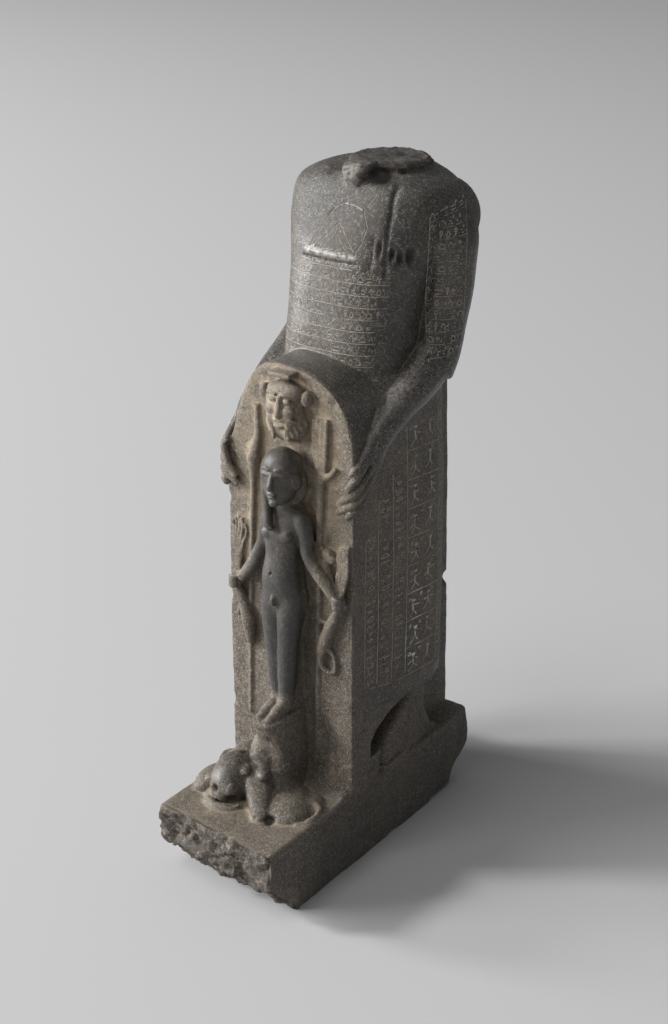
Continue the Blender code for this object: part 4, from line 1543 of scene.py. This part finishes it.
def small_figure(sheet, u, v, wide, high):
    """A chance figure of a few broad strokes, like the gods and birds of a register."""
    jitter = chance.uniform
    middle, top = u + wide * jitter(0.35, 0.6), v + high * jitter(0.86, 1.0)
    strokes = [
        ([(middle, v + 0.22 * high), (middle + jitter(-0.1, 0.1) * wide, v + 0.74 * high)], 0.0026),
        ([(middle - 0.14 * wide, top - 0.06 * high), (middle + 0.20 * wide, top - 0.10 * high)], 0.0024),
        ([(middle - 0.05 * wide, v + 0.26 * high), (u + jitter(0, 0.2) * wide, v)], 0.0014),
        ([(middle + 0.08 * wide, v + 0.24 * high), (u + jitter(0.6, 0.9) * wide, v)], 0.0014),
        ([(middle, v + 0.60 * high), (u + jitter(0.75, 1) * wide, v + jitter(0.35, 0.7) * high)], 0.0014),
        ([(middle - 0.1 * wide, v + 0.5 * high), (u, v + jitter(0.3, 0.6) * high)], 0.0018),
    ]
    for number, (path, width) in enumerate(strokes[: chance.choice((4, 5, 6))]):
        stroke_path(sheet, path, number, width=width, depth=0.0006)


# %% Rows on the belly and chest
belly = Sheet((0, -0.05, 0), (1, 0, 0), front=-0.02)
pitch = 0.0088
for number in range(10):
    text_row(belly, -0.047, 0.047, 0.4000 + number * pitch, pitch * 0.92)
text_row(belly, -0.030, 0.020, 0.4885, 0.0062)

# %% Rows on the arms
for side, _ in SIDES:
    middle, across = (side * 0.060, 0.080, 0), (0.75, side * 0.66, 0)
    for number in range(13):
        tilt = side * (0.02 + 0.035 * max(0, number - 4))
        text_row(Sheet(middle, across, tilt), -0.014, 0.015, 0.420 + 0.0090 * number, 0.0084, width=0.0009)
    arm = Sheet(middle, across)
    ruled(arm, (-0.0142 * side, 0.418), (-0.0142 * side, 0.528), width=0.0008)
    ruled(arm, (0.0152 * side, 0.418), (0.0152 * side, 0.535), width=0.0006)

# %% Columns and registers on both sides
columns = [(-0.0200, -0.0030, 0.292), (-0.0030, 0.0140, 0.318), (0.0140, 0.0320, 0.334)]
rules = [(0.0330, 0.368), (0.0800, 0.380), (0.0870, 0.380)]
for side, _ in SIDES:
    flank = Sheet((side * 0.07, 0, 0), (0, side, 0))
    for start, end, upper in columns:
        near, far = sorted((side * start, side * end))
        bottom = 0.1590 - 0.14 * (start + 0.012)
        text_column(flank, near, far - near, bottom, upper, width=0.0011, depth=0.00050)
    for place, top_end in rules:
        ruled(flank, (side * place, 0.146), (side * place, top_end), width=0.0010, depth=0.00045)
    for number in range(9):
        v = 0.1470 + 0.0248 * number
        ruled(flank, (side * 0.0335, v + 0.002), (side * 0.0795, v - 0.003), width=0.0010, depth=0.00045)
        for field in range(2):
            u = side * (0.0365 + 0.0215 * field)
            small_figure(flank, min(u, u + side * 0.017), v + 0.0040, 0.0170, 0.0165)
        for field in range(3):
            u = side * (0.0360 + 0.0150 * field)
            sign(flank, min(u, u + side * 0.0060), v + 0.0180, 0.0060, 0.0040, width=0.0010)
    for number in range(34):
        near, far = sorted((side * 0.0808, side * 0.0862))
        sign(flank, near, 0.150 + 0.0066 * number, far - near, 0.0046, width=0.0009)
    # the hem is a raised band, and its upper edge is a light line
    for (u0, v0), (u1, v1) in zip(hem, hem[1:]):
        ruled(flank, (side * u0, v0), (side * u1, v1), width=0.0010)

# %% Columns on the back pillar and behind the shoulders
back = Sheet((0, 0.16, 0), (-1, 0, 0))
foot_end, top_end = 0.084, 0.505
for number in range(4):
    text_column(back, -0.022 + 0.0112 * number, 0.0105, foot_end, top_end, width=0.0009)
ruled(back, (0.0228, foot_end), (0.0228, top_end), width=0.0005)
for side, _ in SIDES:
    start, end = sorted((side * 0.031, side * 0.058))
    for number in range(8):
        text_row(back, start, end, 0.430 + 0.0075 * number, 0.0070)

# %% The pectoral on the chest
breast = [
    [(-0.0220, 0.5010), (-0.0165, 0.5110), (-0.0103, 0.5225), (-0.0060, 0.5300), (0.0020, 0.5345)],
    [(0.0020, 0.5345), (0.0119, 0.5339), (0.0203, 0.5312), (0.0270, 0.5430)],
    [(0.0203, 0.5312), (0.0262, 0.5200), (0.0240, 0.5080), (0.0200, 0.5000)],
    [(-0.0165, 0.5010), (-0.0060, 0.5120), (0.0015, 0.5213), (0.0100, 0.5120), (0.0190, 0.5010)],
    [(-0.0110, 0.5010), (0.0010, 0.5140), (0.0120, 0.5010)],
    [(0.0015, 0.5140), (0.0015, 0.5010)],
]
for line in breast:
    for start, end in zip(line, line[1:]):
        ruled(belly, start, end, width=0.0010, depth=0.0006)
print("strokes", [len(batch) for batch in wedges])

# %% [markdown]
# ### Cutting the strokes
#
# Each stroke becomes a wedge with six corners, a little proud of the stone and pointed below. All wedges
# of a batch are one mesh, because one Boolean with a thousand wedges is far quicker than a thousand
# Booleans. The MANIFOLD solver is the quick one. Cutting and thinning can leave slivers where the skin
# isn't quite closed. They are too small to see, and the last print counts their points.


# %% Cut the strokes
def wedge_mesh(name, strokes):
    """All strokes of one batch as one mesh of small closed wedges."""
    points, faces = [], []
    proud = 0.0003
    for (a, na), (b, nb), width, depth in strokes:
        along = (b - a).normalized()
        first = len(points)
        for place, normal, inward in ((a, na, along), (b, nb, -along)):
            sideways = along.cross(normal).normalized() * (width / 2) * (1 + proud / depth)
            points += [
                place + normal * proud + sideways,
                place + normal * proud - sideways,
                place - normal * depth + inward * width * 0.4,
            ]
        faces += [[first + i for i in face] for face in ((0, 1, 2), (3, 5, 4))]
        faces += [[first + i for i in face] for face in ((0, 3, 4, 1), (1, 4, 5, 2), (2, 5, 3, 0))]
    mesh = bpy.data.meshes.new(name)
    mesh.from_pydata(points, [], faces)
    piece = bpy.data.objects.new(name, mesh)
    bpy.context.scene.collection.objects.link(piece)
    return piece


def cut(piece, cutter):
    """Cuts one mesh out of another. The quick solver comes first, and the exact one if that fails."""
    before = piece.data.copy()
    apply(piece, "BOOLEAN", operation="DIFFERENCE", solver="MANIFOLD", object=cutter)
    fewest = 0.95 * len(before.polygons)  # a good cut adds faces
    if len(piece.data.polygons) < fewest:
        print("the quick solver left only", len(piece.data.polygons), "faces")
        piece.data = before
        apply(piece, "BOOLEAN", operation="DIFFERENCE", solver="EXACT", object=cutter)
    bpy.data.objects.remove(cutter)


for number, batch in enumerate(wedges):
    cut(stone, wedge_mesh(f"strokes_{number}", batch))
    print("batch", number + 1, "is cut:", len(stone.data.polygons), "faces")
final_triangles = 188000  # with the signs
thinned(stone, final_triangles)
print("with signs, points where the skin is not closed", unclosed(stone))

# %% [markdown]
# ## What the material needs to know
#
# The stone is one kind of rock, but its surface isn't the same all over. The torso, the arms and the child
# are rubbed smooth by hands and water. The slab behind the child is dull, with pale dust in its hollows.
# Fresh scratches of the signs are lighter. A painted texture could carry this, but it would need an
# unwrapped skin. Numbers on the points carry it to the material without one.

# %% Depth of the signs
points, normals = points_of(stone), normals_of(stone)
x, y, z = points.T
cut_depth = np.array([tree.find_nearest(Vector(p))[3] for p in points])
keep(stone, "incised", np.clip(cut_depth / 0.00030, 0, 1))
print("deepest stroke", cut_depth.max())

# %% Polished parts, the dark child and painted shade
# the child, the mask, what his hands hold, the crocodiles, the torso, the arch, the hem and the forearms
ahead = FACE - y
figure = ramp(ahead, 0.006, 0.012) * ramp(z, 0.143, 0.160) * (1 - ramp(np.abs(x - 0.002), 0.026, 0.034))
figure *= 1 - ramp(z, 0.362, 0.366)
mask_face = ball(points, (mask_x, FACE - 0.010, 0.392), (0.030, 0.020, 0.034))
limbs = ramp(ahead, 0.004, 0.008) * ramp(z, 0.225, 0.24) * (1 - ramp(z, 0.30, 0.32))
heads = ramp(z, GROUND + 0.012, GROUND + 0.022) * ramp(-y, 0.05, 0.06) * (1 - ramp(z, 0.098, 0.106))
upper = ramp(z, 0.365, 0.395) * ramp(y, -0.010, 0.006)
arch_top = ramp(z, 0.340, 0.362) * ramp(y, FACE + 0.0015, FACE + 0.0050) * (1 - ramp(y, 0.004, 0.012))
hem_slope = z + 0.134 * (y + 0.012)
band = ramp(np.abs(x), 0.050, 0.056) * ramp(z, 0.122, 0.130) * (1 - ramp(hem_slope, 0.1540, 0.1556))
band *= ramp(y, -0.020, -0.008)
arms_low = ball(points, (0.060, 0.020, 0.385), (0.030, 0.060, 0.045))
arms_low += ball(points, (-0.060, 0.020, 0.385), (0.030, 0.060, 0.045))
polish = upper + figure + 0.5 * mask_face + 0.7 * limbs + 0.8 * heads + arms_low + arch_top + 0.6 * band
keep(stone, "polish", np.clip(polish, 0, 1))
# Painted shade: the plinth's sides and the upper chest and shoulders are darkened by the next mask, besides
# the child's own dark tone.
low_sides = ramp(GROUND - z, 0.0, 0.004) * (1 - ramp(-y, 0.078, 0.090))
shoulders = ramp(z, 0.497, 0.515)
keep(stone, "dark_tone_and_shade", np.clip(figure + 0.36 * low_sides + 0.36 * shoulders, 0, 1))
keep(stone, "matte", shoulders)
keep(stone, "tooled", arch_top * (1 - ramp(np.abs(x) - 0.050, 0.0, 0.006)))

# %% Dust and chalk
front_face = ramp(-y, 0.0335, 0.036) * ramp(z, GROUND + 0.002, GROUND + 0.010)
tan = front_face * (0.12 + 0.92 * ramp(z, 0.18, 0.36)) * ramp(0.060 - np.abs(x), 0.0, 0.014)
plinth_top = ramp(z, GROUND - 0.0020, GROUND) * (1 - ramp(z, GROUND + 0.004, GROUND + 0.009))
plinth_top = plinth_top * ramp(-y, 0.03, 0.05)
tan += 0.55 * plinth_top * ramp(normals[:, 2], 0.5, 0.9)
keep(stone, "dusty", np.clip(tan * (1 - 0.8 * figure), 0, 1))
chalk = ball(points, (0.062, 0.043, 0.180), (0.030, 0.018, 0.030))
chalk += 0.6 * ball(points, (0.062, 0.048, 0.212), (0.030, 0.018, 0.026))
keep(stone, "chalk", np.clip(2.2 * chalk, 0, 1) * ramp(noise(points, 0.004, 21), -0.7, 0.1))
print("numbers for the material", [layer.name for layer in stone.data.attributes])

# %% Smooth shading
picked(stone)
bpy.ops.object.shade_smooth_by_angle(angle=math.radians(38))

# %% [markdown]
# ## A small helper for materials
#
# A material is a sum of many layers, and wiring them by hand hides the idea. `Value` wraps one socket, so
# that layers can be written as arithmetic. Every operator makes one Math node, and `mix` makes a Mix node.


# %% Material helper
class Value:
    """One output socket of a node tree, with arithmetic that adds nodes."""

    def __init__(self, tree, socket):
        self.tree = tree
        self.socket = socket

    def node(self, kind, settings=None, output=0, **inputs):
        """Adds any node: its settings, then its inputs by name or by number, as in input_0."""
        made = self.tree.nodes.new(kind)
        for name, setting in (settings or {}).items():
            setattr(made, name, setting)
        for name, value in inputs.items():
            key = int(name[6:]) if name.startswith("input_") else name.replace("_", " ")
            if isinstance(value, Value):
                self.tree.links.new(value.socket, made.inputs[key])
            else:
                made.inputs[key].default_value = value
        return Value(self.tree, made.outputs[output])

    def math(self, operation, first, second):
        return self.node("ShaderNodeMath", {"operation": operation}, input_0=first, input_1=second)

    def __add__(self, other):
        return self.math("ADD", self, other)

    def __sub__(self, other):
        return self.math("SUBTRACT", self, other)

    def __rsub__(self, other):
        return self.math("SUBTRACT", other, self)

    def __mul__(self, other):
        return self.math("MULTIPLY", self, other)

    __radd__ = __add__
    __rmul__ = __mul__

    def at_most(self, limit):
        return self.math("MINIMUM", self, limit)

    def step(self, start, end):
        """0 at start, 1 at end, smooth between."""
        settings = {"interpolation_type": "SMOOTHSTEP"}
        return self.node("ShaderNodeMapRange", settings, Value=self, From_Min=start, From_Max=end)

    def mix(self, first, second):
        """The colour `first` where this is 0 and `second` where it is 1."""
        settings = {"data_type": "RGBA", "clamp_factor": True}
        return self.node("ShaderNodeMix", settings, output=2, input_0=self, input_6=first, input_7=second)

    def into(self, node, name):
        self.tree.links.new(self.socket, node.inputs[name])


def new_material(name):
    """A Principled material, its shader and its Object coordinates."""
    material = bpy.data.materials.new(name)
    material.use_nodes = True
    tree = material.node_tree
    shader = tree.nodes["Principled BSDF"]
    place = Value(tree, tree.nodes.new("ShaderNodeTexCoord").outputs["Object"])
    return material, shader, place


def shade(red, green, blue):
    return (red, green, blue, 1)


# %% [markdown]
# ## The stone
#
# A dark granodiorite: a near black ground full of pale feldspar grains about a millimetre wide. Rubbed
# parts are darker, cooler and have a soft shine. Dull parts are browner. An image texture would show seams
# and repeats, so noise in space makes every layer: soft clouds for stains, and cells for grains.

# %% Stone material
material, shader, place = new_material("dark_stone")


def stored(name):
    """The number that the points carry under this name."""
    return place.node("ShaderNodeAttribute", {"attribute_name": name}, output=2)


def cloud(scale, detail=2.0, roughness=0.5):
    """Soft noise, from 0 to 1."""
    return place.node("ShaderNodeTexNoise", Vector=place, Scale=scale, Detail=detail, Roughness=roughness)


def cells(scale):
    """A chance number for each cell of a broken pattern."""
    colour = place.node("ShaderNodeTexVoronoi", output=1, Vector=place, Scale=scale, Randomness=1.0)
    return place.node("ShaderNodeSeparateColor", output=0, Color=colour)


hollow, crease, worn, shade_and_dark_neck_top = stored("hollow"), stored("crease"), stored("worn"), stored("shade_and_dark_neck_top")
broken_part, highlight_and_pale_stub, tooled, matte = stored("broken"), stored("highlight_and_pale_stub"), stored("tooled"), stored("matte")
polished, dark_tone_and_shade, dusty = stored("polish"), stored("dark_tone_and_shade"), stored("dusty")
incised, chalky = stored("incised"), stored("chalk")

# %% Stone: ground and grains
mottle = cloud(55, 3).step(0.35, 0.65)
drift = cloud(14, 2).step(0.38, 0.62)
warm = cloud(27, 4, 0.6).step(0.46, 0.70) * (1 - dark_tone_and_shade * 0.7)
pale = cells(1550).step(0.60, 0.90) * cloud(330, 2).step(0.30, 0.62)
black = cells(1900).step(0.34, 0.20)

smooth_stone = mottle.mix(shade(0.023, 0.020, 0.017), shade(0.044, 0.038, 0.031))
dull_stone = mottle.mix(shade(0.066, 0.053, 0.039), shade(0.118, 0.095, 0.069))
ground = polished.mix(dull_stone, smooth_stone)
ground = (drift * 0.35).mix(ground, shade(0.044, 0.038, 0.032))
ground = (warm * 0.42).mix(ground, shade(0.085, 0.060, 0.036))
# The child's own dark tone, and painted shade on the plinth's sides and the upper chest and shoulders.
ground = (dark_tone_and_shade * 0.90).mix(ground, shade(0.016, 0.015, 0.014))
ground = (black * 0.88).mix(ground, shade(0.014, 0.012, 0.011))
ground = (pale * (0.66 - dark_tone_and_shade * 0.50)).mix(ground, shade(0.33, 0.30, 0.255))

# %% Stone: tool marks over the arch
stripes = {"bands_direction": "DIAGONAL"}
hatching = place.node("ShaderNodeTexWave", stripes, Vector=place, Scale=240.0, Distortion=3.0)
ground = (tooled * hatching.step(0.55, 0.95) * 0.30).mix(ground, shade(0.26, 0.24, 0.21))

# %% [markdown]
# ### Raw breaks, dust and signs
#
# Raw breaks show coarse crystals of tan, grey and black. Painted shade darkens the hollows, grooves and
# carved marks, and the top of the neck break is darker. Dust the colour of sand sits in creases and round
# the carved figures, and edges are worn pale. A painted highlight lies on the moulding of the pectoral and
# on the tops of the forearms, and the stub of the beard is a pale break. The signs come last, as a pale
# filling in their strokes, and a few on the left side are whitened with chalk.

# %% Stone: raw breaks
coarse_grain = cells(420)
raw = coarse_grain.step(0.3, 0.8).mix(shade(0.028, 0.023, 0.019), shade(0.096, 0.077, 0.058))
raw = (coarse_grain.step(0.84, 0.92) * 0.7).mix(raw, shade(0.20, 0.145, 0.095))
raw = cells(700).step(0.24, 0.14).mix(raw, shade(0.016, 0.015, 0.014))
raw = (pale * 0.4).mix(raw, shade(0.27, 0.25, 0.22))
raw = (cloud(75, 3).step(0.40, 0.62) * 0.80).mix(raw, shade(0.022, 0.018, 0.015))
ground = (broken_part * (0.6 + 0.4 * mottle)).mix(ground, raw)

# %% Stone: painted shade, worn edges, dust and painted highlight
# Painted shade in the hollows and in the pushed-in marks and furrows; the top of the neck break is darkened
# with it.
shadowed = (shade_and_dark_neck_top + hollow * (1 - dusty) * 0.75).at_most(1.0) * 0.80
ground = shadowed.mix(ground, shade(0.018, 0.015, 0.012))
edge = worn * cloud(210, 3).step(0.35, 0.65) * (0.40 - polished * 0.25)
ground = edge.mix(ground, shade(0.26, 0.225, 0.18))
settled_dust = dusty * (0.34 + hollow * 0.9 + crease * 0.7) + crease * (1 - polished * 0.6) * 0.22
dust = (settled_dust * (0.36 + 0.9 * cloud(120, 4, 0.6).step(0.34, 0.68))).at_most(0.92)
dust_colour = cloud(90, 3).mix(shade(0.22, 0.17, 0.115), shade(0.33, 0.265, 0.185))
ground = dust.mix(ground, dust_colour)
# Painted highlight on the moulding and the tops of the forearms, and the pale colour of the stub's break.
ground = (highlight_and_pale_stub * cloud(330, 3).step(0.30, 0.60) * 0.8).mix(ground, shade(0.36, 0.34, 0.31))

# %% Stone: filling of the signs
filled = incised.step(0.02, 0.30) * cloud(70, 2).step(0.18, 0.50)
ground = (filled * 0.90).mix(ground, shade(0.42, 0.38, 0.32))
ground = (chalky * incised.step(0.02, 0.2)).mix(ground, shade(0.80, 0.78, 0.73))
ground.into(shader, "Base Color")

# %% [markdown]
# ### Shine and fine grain
#
# Hands and water gave the torso its soft shine, and what is raw, dusty or matte has none. The grain is too
# fine for the mesh, so a bump of half a millimetre carries it: single crystals stand a little proud.

# %% Stone: roughness and bump
rough = 0.64 - polished * 0.29 + dark_tone_and_shade * 0.12 + broken_part * 0.2 + dust * 0.25 + filled * 0.12
rough = rough + black * 0.10 + shade_and_dark_neck_top * 0.2 + matte * 0.22
(rough + cloud(420, 2) * 0.30 - 0.15).into(shader, "Roughness")
shader.inputs["Specular IOR Level"].default_value = 0.75

grain = cloud(900, 3, 0.6) * (1.30 - polished * 0.45 - dark_tone_and_shade * 0.35)
height = grain + pale * 0.45 + cloud(260, 3) * (1 - polished * 0.6) * 0.9 + broken_part * coarse_grain * 1.6
place.node("ShaderNodeBump", Strength=0.65, Distance=0.0006, Height=height).into(shader, "Normal")
stone.data.materials.clear()
stone.data.materials.append(material)
print("dark_stone", len(material.node_tree.nodes), "nodes")

# %% [markdown]
# ## Studio
#
# The piece stands on a wide pale floor. Its main light comes from the left: a key light at about thirty
# degrees, and a strip below it that draws a highlight down the torso. So the right side stays dark, and a
# soft shadow falls to the right. A wide sheet at the front left lifts the relief without any glare, a faint
# light high in front reaches what faces up, and the world gives a dim even fill.

# %% Floor
nothing_selected()
bpy.ops.mesh.primitive_plane_add(size=60, location=(0, 0, 0))
floor = bpy.context.object
floor.name = "floor"
floor_material, floor_shader, _ = new_material("floor")
floor_shader.inputs["Base Color"].default_value = shade(0.425, 0.425, 0.43)
floor_shader.inputs["Roughness"].default_value = 0.85
floor.data.materials.append(floor_material)


# %% Lights
def facing(thing, spot, target):
    """Puts a camera or a light at a spot and turns it to its target."""
    thing.location = spot
    thing.rotation_euler = (Vector(target) - Vector(spot)).to_track_quat("-Z", "Y").to_euler()


def studio_light(name, azimuth, height, power, size):
    """A square light around the piece: degrees from +X, degrees above it, watts and size."""
    away, middle = 9, 0.3
    turn, rise = math.radians(azimuth), math.radians(height)
    level = away * math.cos(rise)
    spot = (level * math.cos(turn), level * math.sin(turn), middle + away * math.sin(rise))
    light = bpy.data.lights.new(name, "AREA")
    light.energy = power
    light.size = size
    lamp = bpy.data.objects.new(name, light)
    bpy.context.scene.collection.objects.link(lamp)
    facing(lamp, spot, (0, 0, middle))
    return lamp


studio_light("key", 213, 31, 640, 1.3)
studio_light("strip", 202, 13, 700, 1.8)
front = studio_light("front", 228, 15, 800, 2.8)
front.visible_glossy = False  # so large a sheet gives light but no glare
studio_light("overhead", 256, 62, 165, 3.0)

# %% World
world = bpy.data.worlds.new("world")
bpy.context.scene.world = world
world.use_nodes = True
background = world.node_tree.nodes["Background"]
background.inputs["Color"].default_value = shade(0.98, 0.99, 1.0)
background.inputs["Strength"].default_value = 0.24
bpy.context.scene.view_settings.view_transform = "Standard"

# %% Camera
lens = bpy.data.cameras.new("camera")
lens.lens = 61.3
lens.sensor_width = 36
lens.clip_end = 200
camera = bpy.data.objects.new("camera", lens)
bpy.context.scene.collection.objects.link(camera)
facing(camera, (0.7612, -1.0116, 0.8524), (-0.0157, 0.0421, 0.2722))
bpy.context.scene.camera = camera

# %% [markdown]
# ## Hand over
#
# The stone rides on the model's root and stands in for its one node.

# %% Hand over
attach(stone, "root")
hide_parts("healing_statue")
